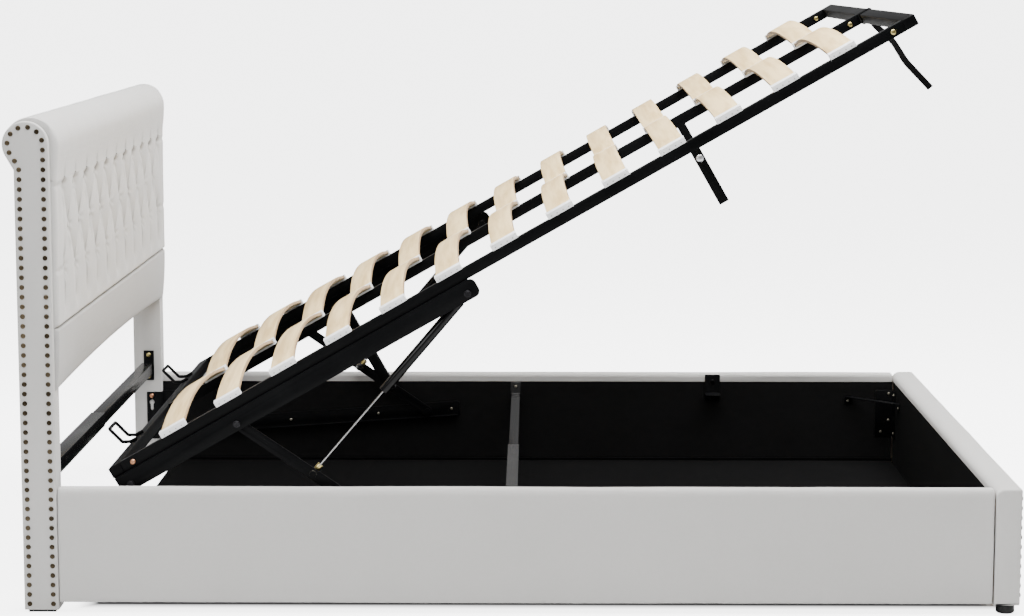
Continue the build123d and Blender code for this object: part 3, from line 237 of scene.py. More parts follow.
# %% Grit group, for powder coat and moulded plastic
grit_group, grit_in, grit_out = effect_group(
    "fine grit", {"Scale": 900.0, "Smudge": 1.0}, ["Height", "Polish"]
)
smudge_scale = 9.0
grit_place, _ = object_axes(grit_group)
grains = noise_node(grit_group, grit_place, grit_in.outputs["Scale"], detail=2.0)
grit_group.links.new(grains, grit_out.inputs["Height"])
smudges = noise_node(grit_group, grit_place, smudge_scale, detail=4.0, roughness=0.6)
polish = math_node(grit_group, "MULTIPLY", smudges, grit_in.outputs["Smudge"])
grit_group.links.new(polish, grit_out.inputs["Polish"])

# %% Wood grain group
grain_group, grain_in, grain_out = effect_group(
    "wood grain", {"Fineness": 1.0, "Along": 3.0}, ["Figure", "Pores"]
)
across_grain = 60.0
ring_scale, pore_scale = 1.0, 7.0
_, grain_axes = object_axes(grain_group)
grain_squeeze = grain_group.nodes.new("ShaderNodeCombineXYZ")
across_scale = math_node(grain_group, "MULTIPLY", across_grain, grain_in.outputs["Fineness"])
for axis, scale in {"X": across_scale, "Y": grain_in.outputs["Along"], "Z": across_scale}.items():
    scaled = math_node(grain_group, "MULTIPLY", grain_axes[axis], scale)
    grain_group.links.new(scaled, grain_squeeze.inputs[axis])
rings = noise_node(grain_group, grain_squeeze.outputs[0], ring_scale, detail=4.0, roughness=0.55)
pores = noise_node(grain_group, grain_squeeze.outputs[0], pore_scale, detail=2.0, roughness=0.6)
grain_group.links.new(rings, grain_out.inputs["Figure"])
grain_group.links.new(pores, grain_out.inputs["Pores"])
print("effect groups", [g.name for g in bpy.data.node_groups])

# %% [markdown]
# ## A floor that glows beside the bed
# Only the camera sees the floor's strong glow, which makes the floor nearly as white as in the
# photograph and lights nothing else. It fades to a faint one under the bed, so that no bright
# floor shows through the gaps of the box.

# %% Glow beside the bed
footprint_middle, footprint_half = (0.065, 0.0), (1.0, 0.74)
footprint_fade = 0.04
plain_glow, seen_glow = 0.05, 4.5
floor_tree = floor_finish.node_tree
_, floor_axes = object_axes(floor_tree)
outside = []
for axis in (0, 1):
    offset = math_node(floor_tree, "SUBTRACT", floor_axes[axis], footprint_middle[axis])
    distance = math_node(floor_tree, "ABSOLUTE", offset)
    past_edge = math_node(floor_tree, "SUBTRACT", distance, footprint_half[axis])
    share = math_node(floor_tree, "DIVIDE", past_edge, footprint_fade)
    outside.append(math_node(floor_tree, "MINIMUM", math_node(floor_tree, "MAXIMUM", share, 0.0), 1.0))
beside_bed = math_node(floor_tree, "MAXIMUM", *outside)
seen_directly = floor_tree.nodes.new("ShaderNodeLightPath").outputs["Is Camera Ray"]
glow = floor_tree.nodes.new("ShaderNodeMapRange")
glow.inputs["To Min"].default_value = plain_glow
glow.inputs["To Max"].default_value = seen_glow
floor_tree.links.new(math_node(floor_tree, "MULTIPLY", seen_directly, beside_bed), glow.inputs["Value"])
floor_tree.links.new(glow.outputs[0], floor_shader.inputs["Emission Strength"])
print("floor nodes", len(floor_tree.nodes))

# %% [markdown]
# ## The finishes
# Every finish starts from the shader that ships with Blender. The colours were set by comparing
# renders with the photograph: a warm grey cloth, black powder-coated steel, pale birch, white
# plastic and small fasteners in bronze, yellow zinc and copper. A colour ramp turns an effect's
# mask into two near tones of one colour, which looks more real than a single flat colour.

# %% Helpers for finishes
def place_effect(material, group, **values):
    node = material.node_tree.nodes.new("ShaderNodeGroup")
    node.node_tree = group
    for label, value in values.items():
        node.inputs[label].default_value = value
    return node


def two_tones(material, mask, dark, light, low=0.0, high=1.0):
    ramp = material.node_tree.nodes.new("ShaderNodeValToRGB")
    ramp.color_ramp.elements[0].position = low
    ramp.color_ramp.elements[1].position = high
    ramp.color_ramp.elements[0].color = (*dark, 1)
    ramp.color_ramp.elements[1].color = (*light, 1)
    material.node_tree.links.new(mask, ramp.inputs[0])
    shader = material.node_tree.nodes["Principled BSDF"]
    material.node_tree.links.new(ramp.outputs[0], shader.inputs["Base Color"])


def raise_surface(material, height, depth, strength):
    bump = material.node_tree.nodes.new("ShaderNodeBump")
    bump.inputs["Distance"].default_value = depth
    bump.inputs["Strength"].default_value = strength
    material.node_tree.links.new(height, bump.inputs["Height"])
    shader = material.node_tree.nodes["Principled BSDF"]
    material.node_tree.links.new(bump.outputs[0], shader.inputs["Normal"])


def vary_roughness(material, mask, low, high):
    spread = material.node_tree.nodes.new("ShaderNodeMapRange")
    spread.inputs["To Min"].default_value = low
    spread.inputs["To Max"].default_value = high
    material.node_tree.links.new(mask, spread.inputs["Value"])
    shader = material.node_tree.nodes["Principled BSDF"]
    material.node_tree.links.new(spread.outputs[0], shader.inputs["Roughness"])


# %% Helper: a cloth finish
cloth_roughness, sheen_roughness = 0.9, 0.5
sheen_shine, plain_shine = 0.2, 0.05


def cloth_finish(name, dark, light, pitch, mottle, depth, sheen=0.0):
    material, shader = finish_of(name, light, cloth_roughness)
    effect = place_effect(material, weave_group, Pitch=pitch, Mottle=mottle)
    two_tones(material, effect.outputs["Tone"], dark, light)
    raise_surface(material, effect.outputs["Height"], depth, strength=0.6)
    shader.inputs["Sheen Weight"].default_value = sheen
    shader.inputs["Sheen Roughness"].default_value = sheen_roughness
    shader.inputs["Specular IOR Level"].default_value = sheen_shine if sheen else plain_shine
    return material


# %% Cloth, lining and webbing
woven = {"pitch": 1.3, "mottle": 0.8, "depth": 0.00025}
felted = {"pitch": 2.2, "mottle": 1.0, "depth": 0.0003}
warm_grey = {"dark": (0.39, 0.382, 0.368), "light": (0.5, 0.492, 0.478), "sheen": 0.25, **woven}
upholstery = cloth_finish("warm grey upholstery", **warm_grey)
# The band's cloth is the upholstery drawn darker: painted shade, so that the plain band reads darker than
# the swelling tufts above it.
band_cloth_with_painted_shade = cloth_finish(
    "upholstery drawn darker as painted shade", dark=(0.31, 0.304, 0.296), light=(0.4, 0.394, 0.386), sheen=0.2, **woven
)
lining = cloth_finish(
    "black lining felt", dark=(0.003, 0.003, 0.0031), light=(0.0075, 0.0075, 0.0078), **felted
)
# The floor's felt is the lining felt drawn darker, as painted shade: the floor of the box gets more of the
# overhead light than its sides.
floor_felt_with_painted_shade = cloth_finish(
    "lining felt drawn darker as painted shade", dark=(0.0012, 0.0012, 0.0013), light=(0.0034, 0.0034, 0.0036), **felted
)
webbing = cloth_finish(
    "black webbing", dark=(0.002, 0.002, 0.002), light=(0.006, 0.006, 0.0062),
    pitch=1.6, mottle=0.6, depth=0.0006
)

# %% Cloth with painted shade in its folds
# The fold layer carries painted shade: the cloth is drawn darker in the creases of the tufts, where shade
# falls.
painted_fold_shade_layer = "fold"
deepest_painted_fold_shade = (0.42, 0.41, 0.4)


def paint_fold_shade(material, deepest):
    """Where a mesh carries a fold value, its finish is drawn towards a darker tone: painted shade in the
    folds.
    """
    nodes, links = material.node_tree.nodes, material.node_tree.links
    shader = nodes["Principled BSDF"]
    plain = shader.inputs["Base Color"].links[0].from_socket
    fold = nodes.new("ShaderNodeAttribute")
    fold.attribute_name = painted_fold_shade_layer
    tint = nodes.new("ShaderNodeMix")
    tint.data_type = "RGBA"
    tint.blend_type = "MULTIPLY"
    factor, first, second = (s for s in tint.inputs if s.enabled)
    links.new(fold.outputs["Fac"], factor)
    links.new(plain, first)
    second.default_value = (*deepest, 1)
    links.new(next(s for s in tint.outputs if s.enabled), shader.inputs["Base Color"])


tufted_cloth_with_painted_shade = cloth_finish("tufted cloth with painted fold shade", **warm_grey)
paint_fold_shade(tufted_cloth_with_painted_shade, deepest_painted_fold_shade)
print("cloths ready")

# %% Helper: a painted, plated or moulded finish
def coated_finish(name, dark, light, roughness, grit, depth, metallic=0.0, gloss=0.5):
    material, shader = finish_of(name, light, roughness[0])
    effect = place_effect(material, grit_group, Scale=grit)
    two_tones(material, effect.outputs["Polish"], dark, light, low=0.3, high=0.7)
    vary_roughness(material, effect.outputs["Polish"], *roughness)
    raise_surface(material, effect.outputs["Height"], depth, strength=0.5)
    shader.inputs["Metallic"].default_value = metallic
    shader.inputs["Specular IOR Level"].default_value = gloss
    return material


# %% Black steel, enamel and white plastic
black_steel = coated_finish(
    "black powder coat", dark=(0.0013, 0.0014, 0.0016), light=(0.0028, 0.003, 0.0033),
    roughness=(0.32, 0.5), grit=1400.0, depth=0.00005, gloss=0.055
)
black_plastic = coated_finish(
    "black moulded plastic", dark=(0.004, 0.004, 0.004), light=(0.008, 0.008, 0.008),
    roughness=(0.4, 0.55), grit=700.0, depth=0.0001, gloss=0.25
)
black_enamel = coated_finish(
    "black gloss enamel", dark=(0.003, 0.003, 0.0032), light=(0.006, 0.006, 0.0064),
    roughness=(0.16, 0.3), grit=1600.0, depth=0.00002, gloss=0.55
)
strut_paint = coated_finish(
    "strut cylinder paint", dark=(0.0012, 0.0012, 0.0013), light=(0.0024, 0.0024, 0.0026),
    roughness=(0.07, 0.11), grit=1600.0, depth=0.00001, gloss=0.18
)
white_plastic = coated_finish(
    "white moulded plastic", dark=(0.7, 0.7, 0.695), light=(0.84, 0.84, 0.835),
    roughness=(0.32, 0.5), grit=500.0, depth=0.0001
)
print("paints and plastics ready")

# %% Bronze, zinc, brass, copper and polished steel
metal = {"grit": 900.0, "depth": 0.00005, "metallic": 1.0}
bronze = coated_finish(
    "antique bronze", dark=(0.02, 0.015, 0.009), light=(0.09, 0.07, 0.045),
    roughness=(0.25, 0.5), grit=1200.0, depth=0.0001, metallic=1.0
)
zinc = coated_finish(
    "yellow zinc", dark=(0.3, 0.24, 0.09), light=(0.62, 0.53, 0.24), roughness=(0.22, 0.42), **metal
)
brass = coated_finish(
    "brass fitting", dark=(0.5, 0.4, 0.14), light=(0.78, 0.66, 0.3),
    roughness=(0.2, 0.36), grit=900.0, depth=0.00004, metallic=1.0
)
copper = coated_finish(
    "copper plating", dark=(0.36, 0.17, 0.09), light=(0.58, 0.3, 0.18), roughness=(0.28, 0.45), **metal
)
polished_rod = coated_finish(
    "polished rod", dark=(0.2, 0.2, 0.2), light=(0.34, 0.34, 0.34),
    roughness=(0.12, 0.22), grit=1500.0, depth=0.00001, metallic=1.0
)

# %% Wood
pore_depth = 0.00015
varnish = 0.15


def wood_finish(name, dark, light, fineness, along, roughness):
    material, shader = finish_of(name, light, roughness)
    effect = place_effect(material, grain_group, Fineness=fineness, Along=along)
    two_tones(material, effect.outputs["Figure"], dark, light, low=0.34, high=0.62)
    raise_surface(material, effect.outputs["Pores"], pore_depth, strength=0.4)
    shader.inputs["Coat Weight"].default_value = varnish
    return material


birch = wood_finish(
    "pale birch", dark=(0.56, 0.385, 0.165), light=(0.77, 0.578, 0.29),
    fineness=1.0, along=2.4, roughness=0.45
)
birch_edge = wood_finish(
    "birch ply edge", dark=(0.24, 0.15, 0.08), light=(0.5, 0.35, 0.19),
    fineness=14.0, along=1.2, roughness=0.6
)
timber = wood_finish(
    "sawn timber", dark=(0.42, 0.3, 0.18), light=(0.6, 0.45, 0.29),
    fineness=0.7, along=1.5, roughness=0.7
)
print("finishes", len(bpy.data.materials))

# %% [markdown]
# ## Finishing the solids that keep their shape
# Hidden boards and other parts that are already right only get their finish. Each record slot has
# one finish. A piece made later takes the same one, or a variant of it such as the tufted cloth.

# %% Give each solid its finish
slot_finish = {
    "upholstery": upholstery, "timber": timber, "birch": birch, "white_plastic": white_plastic,
    "black_plastic": black_plastic, "black_lining": lining, "black_steel": black_steel,
    "bronze_nails": bronze, "zinc_bolts": zinc, "strut_rod": polished_rod, "webbing": webbing,
}
slot_of = {part["node"]: part["material_slot"] for part in frame["record"]["subparts"]}
body_of = {
    node: body for body, nodes in frame["record"]["behaviour"]["bodies"].items() for node in nodes
}
for name, solid in frame["nodes"].items():
    solid.data.materials.clear()
    solid.data.materials.append(slot_finish[slot_of[name]])
print("finished solids", len(slot_of))

# %% [markdown]
# ## Rounded copies of the metal and plastic parts
# Real tube, angle steel and moulded plastic have small rounded edges, and those edges are what
# catches the light on black paint. A solid's mesh may not be changed, so its copy gets its flat
# faces joined, its sharp edges bevelled and stands for the solid.

# %% Helper: add a piece
def box_of(node):
    """A node's lowest and highest corners."""
    low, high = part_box(node)
    return Vector(low), Vector(high)


def add_piece(name, mesh, material, node):
    """A new piece with a given finish, which rides on a node's body."""
    piece = bpy.data.objects.new(name, mesh)
    bpy.context.collection.objects.link(piece)
    mesh.materials.clear()
    mesh.materials.append(material)
    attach(piece, body_of[node])
    return piece


# %% Helper: copy a solid with rounded edges
weld_gap = 1e-6
flat_angle = math.radians(0.5)


def smooth_by_angle(mesh, degrees):
    mesh.polygons.foreach_set("use_smooth", [True] * len(mesh.polygons))
    mesh.set_sharp_from_angle(angle=math.radians(degrees))


def joined_faces(node):
    """A copy of a solid's mesh, and its open edit, with the triangles of each flat face joined."""
    mesh = frame["nodes"][node].data.copy()
    edit = bmesh.new()
    edit.from_mesh(mesh)
    bmesh.ops.remove_doubles(edit, verts=edit.verts, dist=weld_gap)
    bmesh.ops.dissolve_limit(edit, angle_limit=flat_angle, verts=edit.verts, edges=edit.edges)
    return mesh, edit


def rounded_copy(node, radius, material=None, segments=2, sharp=28):
    mesh, edit = joined_faces(node)
    corners = [
        e for e in edit.edges
        if len(e.link_faces) == 2 and e.calc_face_angle(0) > math.radians(sharp)
    ]
    bmesh.ops.bevel(
        edit, geom=corners, offset=radius, segments=segments, profile=0.5, affect="EDGES",
        clamp_overlap=True
    )
    edit.to_mesh(mesh)
    edit.free()
    smooth_by_angle(mesh, degrees=40)
    piece = add_piece(f"{node}_rounded", mesh, material or slot_finish[slot_of[node]], node)
    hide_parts(node)
    return piece


# %% Round the steel and plastic
both_sides = {
    "deck_rail": 2.2, "deck_arm": 0.8, "long_link": 0.8, "head_link": 0.8, "base_bar": 0.8,
    "head_cross_bar": 1.0, "mid_cross_bar": 1.0,
}
single = {
    "deck_rail_centre": 2.2, "deck_end_rail_head": 2.2, "deck_end_rail_foot": 2.2, "head_bar_plates": 0.8,
    "rail_connectors": 0.8, "rest_brackets": 0.8, "corner_braces": 0.8, "centre_legs": 2.0,
    "slat_caps_side": 1.5, "slat_caps_centre": 1.5, "corner_feet": 1.0, "post_glides": 1.0,
    "mattress_retainers": 0.3,
}
rounding = {f"{stem}_{side}": radius for stem, radius in both_sides.items() for side in ("left", "right")}
rounding.update(single)
for node, radius in rounding.items():
    rounded_copy(node, radius * mm, black_enamel if "cross_bar" in node else None)
print("rounded", len(rounding))

# %% [markdown]
# ## Small turned parts
# Nail heads, buttons and bolts are turned shapes. One helper turns a profile of radius and height
# about an axis, and another finds where each one sits: it reads the separate solids of a node and
# returns their boxes. So a nail head is set exactly on the solid that it stands for.

# %% Helper: the boxes of separate solids
def loose_boxes(node):
    """The boxes of a node's separate solids, sorted by their lowest corner."""
    edit = bmesh.new()
    edit.from_mesh(frame["nodes"][node].data)
    bmesh.ops.remove_doubles(edit, verts=edit.verts, dist=weld_gap)
    edit.verts.index_update()
    seen, boxes = set(), []
    for start in edit.verts:
        if start.index in seen:
            continue
        group, wave = [], [start]
        seen.add(start.index)
        while wave:
            vert = wave.pop()
            group.append(vert.co[:])
            for edge in vert.link_edges:
                other = edge.other_vert(vert)
                if other.index not in seen:
                    seen.add(other.index)
                    wave.append(other)
        group = np.array(group)
        boxes.append((Vector(group.min(axis=0)), Vector(group.max(axis=0))))
    edit.free()
    return sorted(boxes, key=lambda pair: tuple(round(v, 4) for v in pair[0]))


def middle(box):
    return (box[0] + box[1]) / 2


print("separate nails", len(loose_boxes("post_nails")), len(loose_boxes("footboard_nails")))

# %% Helper: turned shapes
tiny_turn = 1e-9


def turned(profile, place, axis, sides, socket=0):
    """Points and faces of (radius, height) pairs, in millimetres, turned about an axis.

    The last rings, as many as socket says, are drawn as hexagons.
    """
    axis = Vector(axis).normalized()
    across = axis.orthogonal().normalized()
    up = axis.cross(across)
    points, faces = [], []
    for row, (radius, height) in enumerate(profile):
        radius, height = radius * mm, height * mm
        for step in range(sides):
            angle = 2 * math.pi * step / sides
            reach = radius
            if row >= len(profile) - socket:
                from_flat = (angle + tiny_turn) % (math.pi / 3) - math.pi / 6
                reach = radius * math.cos(math.pi / 6) / math.cos(from_flat)
            out = across * math.cos(angle) + up * math.sin(angle)
            points.append(Vector(place) + axis * height + out * reach)
    for row in range(len(profile) - 1):
        for step in range(sides):
            a, b = row * sides + step, row * sides + (step + 1) % sides
            faces.append((a, b, b + sides, a + sides))
    faces.append(tuple(reversed(range(sides))))
    faces.append(tuple(range((len(profile) - 1) * sides, len(profile) * sides)))
    return points, faces


def mesh_of(name, parts, degrees=50):
    points, faces = [], []
    for part_points, part_faces in parts:
        offset = len(points)
        points += [tuple(p) for p in part_points]
        faces += [tuple(i + offset for i in face) for face in part_faces]
    mesh = bpy.data.meshes.new(name)
    mesh.from_pydata(points, [], faces)
    mesh.validate()
    smooth_by_angle(mesh, degrees)
    return mesh


prism_points, prism_faces = turned([(1, 0), (1, 1)], (0, 0, 0), (0, 0, 1), 6)
print("a turned shape of six sides has", len(prism_points), "points and", len(prism_faces), "faces")

# %% [markdown]
# ## Nail heads
# A row of antique bronze nails runs up one edge of each post, round its scroll and down the other
# edge, and a short row runs down each end of the footboard. The real ones are low domes with a
# soft rim, a little darker in the rim than on the crown.

# %% Domed nail heads
dome_profile = [(5.4, 0), (5.6, 0.5), (5.3, 1.3), (4.5, 2.05), (3.3, 2.6), (1.7, 2.95)]
nail_sides = 18
post_parts = []
for low, high in loose_boxes("post_nails"):
    side = 1 if low.y > 0 else -1
    centre = middle((low, high))
    face = low.y if side > 0 else high.y
    place = (centre.x, face, centre.z)
    post_parts.append(turned(dome_profile, place, (0, side, 0), nail_sides))
post_domes = add_piece("post_nail_heads", mesh_of("post_nail_heads", post_parts), bronze, "post_nails")
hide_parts("post_nails")
foot_parts = []
for low, high in loose_boxes("footboard_nails"):
    centre = middle((low, high))
    place = (low.x, centre.y, centre.z)
    foot_parts.append(turned(dome_profile, place, (1, 0, 0), nail_sides))
foot_mesh = mesh_of("footboard_nail_heads", foot_parts)
foot_domes = add_piece("footboard_nail_heads", foot_mesh, bronze, "footboard_nails")
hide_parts("footboard_nails")
print("nail heads", len(post_parts) + len(foot_parts))

# %% [markdown]
# ## Bolts
# The photograph shows yellow zinc bolts with a socket, copper ones at the head corners, dull zinc
# ones inside the box, black ones on the rest brackets and a bright bolt through each centre leg.
# A socket head is turned like a nail, with its last rings drawn as a hexagon that sinks into it.

# %% Helper: a group of bolts
bolt_profile = [
    (6.4, 0), (6.5, 0.6), (6.3, 1.8), (5.4, 3.0), (4.0, 3.8), (2.9, 4.0), (2.7, 3.7), (2.6, 1.6),
]
leg_profile = [
    (9.8, 0), (10, 0.7), (9.6, 2.0), (8.2, 3.1), (5.5, 3.8), (2.6, 4.0), (2.3, 3.6), (1.8, 2.4),
]
small_share = 0.6
small_profile = [(radius * small_share, height * small_share) for radius, height in bolt_profile]
bolt_sides, socket_rings = 24, 3


def bolt_group(name, boxes, facing, profile, material, node):
    parts = []
    for box in boxes:
        axis = Vector(facing(box))
        centre = middle(box)
        half = (box[1] - box[0]) / 2
        thin = sum(abs(a) * h for a, h in zip(axis, half))
        parts.append(turned(profile, centre - axis * thin, axis, bolt_sides, socket_rings))
    piece = add_piece(name, mesh_of(name, parts, degrees=35), material, node)
    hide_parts(node)


print("bolt profile", len(bolt_profile), "rings, leg bolt", len(leg_profile))

# %% Which way each bolt faces
def base_facing(box):
    size = box[1] - box[0]
    if size.x < size.y:
        return (-1, 0, 0)
    return (0, -1 if middle(box).y > 0 else 1, 0)


leg_from, leg_to = 0.1, 0.75


def deck_facing(box):
    y = middle(box).y
    outward = 1 if y > 0 else -1
    between_tubes = leg_from < abs(y) < leg_to
    return (0, -outward if between_tubes else outward, 0)


def is_near(box, node, reach=0.02):
    """Whether a bolt sits within a node's stretch along the bed, or a little past it."""
    low, high = box_of(node)
    return low.x - reach < middle(box).x < high.x + reach


# %% Sort the bolts by where they sit
head_end_x, foot_end_x = -0.99, 0.9
keyhole_top, bracket_bottom = 0.25, 0.15
leg_bolt_size = 0.0185
head_corner_reach = 1.0
base_boxes = loose_boxes("base_bolts")
deck_boxes = loose_boxes("deck_bolts")
deck_foot_x = max(high.x for _, high in deck_boxes)
leg_boxes = [b for b in deck_boxes if (b[1] - b[0]).z > leg_bolt_size]
corner_bolts = [b for b in deck_boxes if b not in leg_boxes]
head_corner = [b for b in corner_bolts if b[1].x < deck_foot_x - head_corner_reach]
foot_corner = [b for b in corner_bolts if b not in head_corner]
head_boxes = [b for b in base_boxes if middle(b).x < head_end_x]
keyhole_boxes = [b for b in head_boxes if middle(b).z < keyhole_top]
plate_boxes = [b for b in head_boxes if b not in keyhole_boxes]
corner_boxes = [b for b in base_boxes if middle(b).x > foot_end_x]
side_boxes = [b for b in base_boxes if b not in head_boxes + corner_boxes]
rest_boxes = [b for b in side_boxes if is_near(b, "rest_brackets") and middle(b).z > bracket_bottom]
bar_boxes = [b for b in side_boxes if b not in rest_boxes]
base_groups = (plate_boxes, keyhole_boxes, corner_boxes, rest_boxes, bar_boxes)
print("bolts in the base", [len(boxes) for boxes in base_groups])
print("bolts in the platform", len(head_corner), len(foot_corner), len(leg_boxes))

# %% Bolt heads
silver = coated_finish(
    "bright zinc", dark=(0.55, 0.56, 0.58), light=(0.85, 0.86, 0.88), roughness=(0.22, 0.4), **metal
)
dull_zinc = coated_finish(
    "dull zinc", dark=(0.16, 0.15, 0.12), light=(0.36, 0.34, 0.28), roughness=(0.35, 0.55), **metal
)
bolt_group("plate_bolts", plate_boxes, base_facing, bolt_profile, zinc, "base_bolts")
bolt_group("corner_bolts", corner_boxes, base_facing, small_profile, dull_zinc, "base_bolts")
bolt_group("bar_bolts", bar_boxes, base_facing, small_profile, dull_zinc, "base_bolts")
bolt_group("rest_bolts", rest_boxes, base_facing, bolt_profile, black_steel, "base_bolts")
bolt_group("keyhole_bolts", keyhole_boxes, base_facing, bolt_profile, copper, "base_bolts")
bolt_group("deck_bolts_copper", head_corner, deck_facing, bolt_profile, copper, "deck_bolts")
bolt_group("deck_bolts_zinc", foot_corner, deck_facing, bolt_profile, zinc, "deck_bolts")
bolt_group("leg_bolts_bright", leg_boxes, deck_facing, leg_profile, silver, "deck_bolts")
print("bolt finishes", [m.name for m in (zinc, copper, silver, dull_zinc, black_steel)])

# %% [markdown]
# ## The tufted headboard
# Foam under cloth is drawn back at each button, and the cloth folds into a pleat between one
# button and the next, which leaves diamonds that swell. A simulation would lose the order of the
# pleats, so the surface is worked out: two waves that cross give the diamonds, every button draws
# the pad in round itself with small folds that fan out, and upright folds hang from the last row.

# %% Helper: a closed pad with a worked surface
def relief_panel(name, node, depth_at, step, bottom_at=None):
    """A closed pad over a node's box, whose front stands out by depth_at(y, z)."""
    low, high = box_of(node)
    across = np.linspace(low.y, high.y, round((high.y - low.y) / step) + 1)
    rise = np.linspace(0, 1, round((high.z - low.z) / step) + 1)
    y, share = np.meshgrid(across, rise, indexing="ij")
    bottom = bottom_at(y) if bottom_at else np.full_like(y, low.z)
    z = bottom + (high.z - bottom) * share
    x = low.x + depth_at(y, z)
    points = np.stack([x, y, z], axis=-1).reshape(-1, 3)
    rows, columns = len(across), len(rise)
    index = np.arange(rows * columns).reshape(rows, columns)
    corners = [index[:-1, :-1], index[1:, :-1], index[1:, 1:], index[:-1, 1:]]
    faces = np.stack(corners, axis=-1).reshape(-1, 4)
    rim = [*index[:, 0], *index[-1, 1:], *index[-2::-1, -1], *index[0, -2:0:-1]]
    back = points[rim].copy()
    back[:, 0] = low.x
    first = len(points)
    count = len(rim)
    ahead = [(i + 1) % count for i in range(count)]
    sides = [(rim[i], first + i, first + ahead[i], rim[ahead[i]]) for i in range(count)]
    all_faces = [tuple(int(v) for v in face) for face in [*faces, *sides]]
    all_faces.append(tuple(range(first + count - 1, first - 1, -1)))
    mesh = bpy.data.meshes.new(name)
    mesh.from_pydata([tuple(p) for p in np.vstack([points, back])], [], all_faces)
    smooth_by_angle(mesh, degrees=60)
    return mesh


def slow_noise(y, z, scale, seed=0.0):
    """Smooth noise between about -1 and 1 over two flat arrays."""
    flat = [noise.noise((a * scale, b * scale, seed)) for a, b in zip(y.ravel(), z.ravel())]
    return np.array(flat).reshape(y.shape)


def rounded_edge(distance, radius):
    """0 at an edge and 1 from a radius inwards, along a quarter circle."""
    inside = np.clip(1 - distance / radius, 0, 1)
    return np.sqrt(1 - inside ** 2)


# %% Where the buttons stand
same_column = 0.001
cushion_low, cushion_high = box_of("headboard_cushion")
button_middles = [middle(box) for box in loose_boxes("tuft_buttons")]
button_places = sorted({(round(spot.y, 4), round(spot.z, 4)) for spot in button_middles})
tuft_rows = sorted({z for _, z in button_places}, reverse=True)
row_step = tuft_rows[0] - tuft_rows[1]
column_step = min(abs(y) for y, z in button_places if z == tuft_rows[1])
outer_column = max(y for y, _ in button_places)
outer_buttons = [(y, z) for y, z in button_places if abs(y) > outer_column - same_column]
print("rows", len(tuft_rows), "row step", round(row_step, 4), "column step", round(column_step, 4))

# %% Helpers for the tufts
swell_power = 0.8


def ease(value, start, end):
    """0 before start and 1 past end, with soft turns at both."""
    share = np.clip((value - start) / (end - start), 0, 1)
    return share * share * (3 - 2 * share)


def hill(offset, width):
    """1 where offset is 0, falling away softly over a width on both sides."""
    return np.exp(-((offset / width) ** 2))


def wobble(by, bz, across, up):
    """A value between -1 and 1 that differs from button to button."""
    return math.sin(by * across + bz * up)


def diamond_swell(y, z):
    """0 along the pleats between buttons and 1 in the middle of each diamond."""
    across = y / column_step
    rise = (z - tuft_rows[0]) / row_step
    rising = np.abs(np.sin(math.pi * (across + rise) / 2))
    falling = np.abs(np.sin(math.pi * (across - rise) / 2))
    return (rising * falling) ** swell_power


def flute_swell(y):
    """The upright folds that hang from the lowest row of buttons."""
    return np.abs(np.sin(math.pi * y / (2 * column_step))) ** swell_power


# %% Folds at the buttons
slit_width, slit_rise, slit_drop, slit_lean = 0.0066, 0.046, 0.012, 0.004
slit_start_share, slit_widening = 0.8, 0.5
climb_fade, drop_fade = 1.3, 2
ridge_width, ridge_drop, ridge_reach, ridge_lean = 0.0065, 0.034, 0.017, 0.005
crease_run, crease_width, crease_climb = 0.02, 0.006, 0.004


def slit_line(by, bz):
    """Where the pinched fold above a button stands, a little to one side of it."""
    return by + slit_lean * wobble(by, bz, 31, 17)


def slit(y, z):
    """The pinched fold that stands above each button and fades out as it climbs."""
    total = np.zeros(np.shape(y))
    for by, bz in button_places:
        climb = np.clip((z - bz) / slit_rise, 0, 1)
        below = np.clip((bz - z) / slit_drop, 0, 1)
        width = slit_width * (slit_start_share + slit_widening * climb)
        fold = hill(y - slit_line(by, bz), width)
        total = np.maximum(total, fold * (1 - climb) ** climb_fade * (1 - below) ** drop_fade)
    return total


def ridge(y, z):
    """The raised fold that hangs a little way below each button."""
    total = np.zeros(np.shape(y))
    for by, bz in button_places:
        line = by - ridge_lean * wobble(by, bz, 23, 11)
        across = ((y - line) / ridge_width) ** 2
        down = ((bz - z - ridge_drop) / ridge_reach) ** 2
        total = np.maximum(total, np.exp(-across - down))
    return total


def side_crease(y, z):
    """The short fold that runs from an outer button to the side of the pad."""
    total = np.zeros(np.shape(y))
    for by, bz in outer_buttons:
        past = np.clip((y * math.copysign(1, by) - abs(by)) / crease_run, 0, 1)
        total = np.maximum(total, past * hill(z - bz - crease_climb * past, crease_width))
    return total


# %% How much painted shade each fold gets
shade_width = 0.016
mean_weight, weight_spread = 0.75, 0.25
top_shade_rise, top_shade_drop = 0.052, 0.008
low_shade_rise, low_shade_drop = 0.064, 0.05
hang_shade, hang_shade_width = 0.42, 0.013
hang_start, hang_full, hang_end = 0.02, 0.03, 0.01


def painted_fold_shade_value(y, z):
    """How much painted shade a point gets: 1 in the pinched cloth above a button, fading as it climbs, and
    less in the upright folds below.
    """
    total = np.zeros(np.shape(y))
    for by, bz in button_places:
        top_row = bz == tuft_rows[0]
        climb = np.clip((z - bz) / (top_shade_rise if top_row else low_shade_rise), 0, 1)
        below = np.clip((bz - z) / (top_shade_drop if top_row else low_shade_drop), 0, 1)
        weight = mean_weight + weight_spread * wobble(by, bz, 57, 40)
        pinched = hill(y - slit_line(by, bz), shade_width)
        shade = weight * pinched * (1 - climb) * (1 - below) ** drop_fade
        total = np.maximum(total, shade)
        if bz == tuft_rows[-1]:
            hang = ease(z, bz, bz - hang_start) * (1 - ease(z, bz - hang_full, cushion_low.z + hang_end))
            total = np.maximum(total, hang_shade * hill(y - by, hang_shade_width) * hang)
    return total


def carry_painted_fold_shade(mesh):
    """Store the painted fold shade at every point of a mesh."""
    points = np.array([v.co[:] for v in mesh.vertices])
    layer = mesh.attributes.new(painted_fold_shade_layer, "FLOAT", "POINT")
    layer.data.foreach_set("value", painted_fold_shade_value(points[:, 1], points[:, 2]).astype(np.float32))


print("buttons", len(button_places), "of them beside the posts", len(outer_buttons))

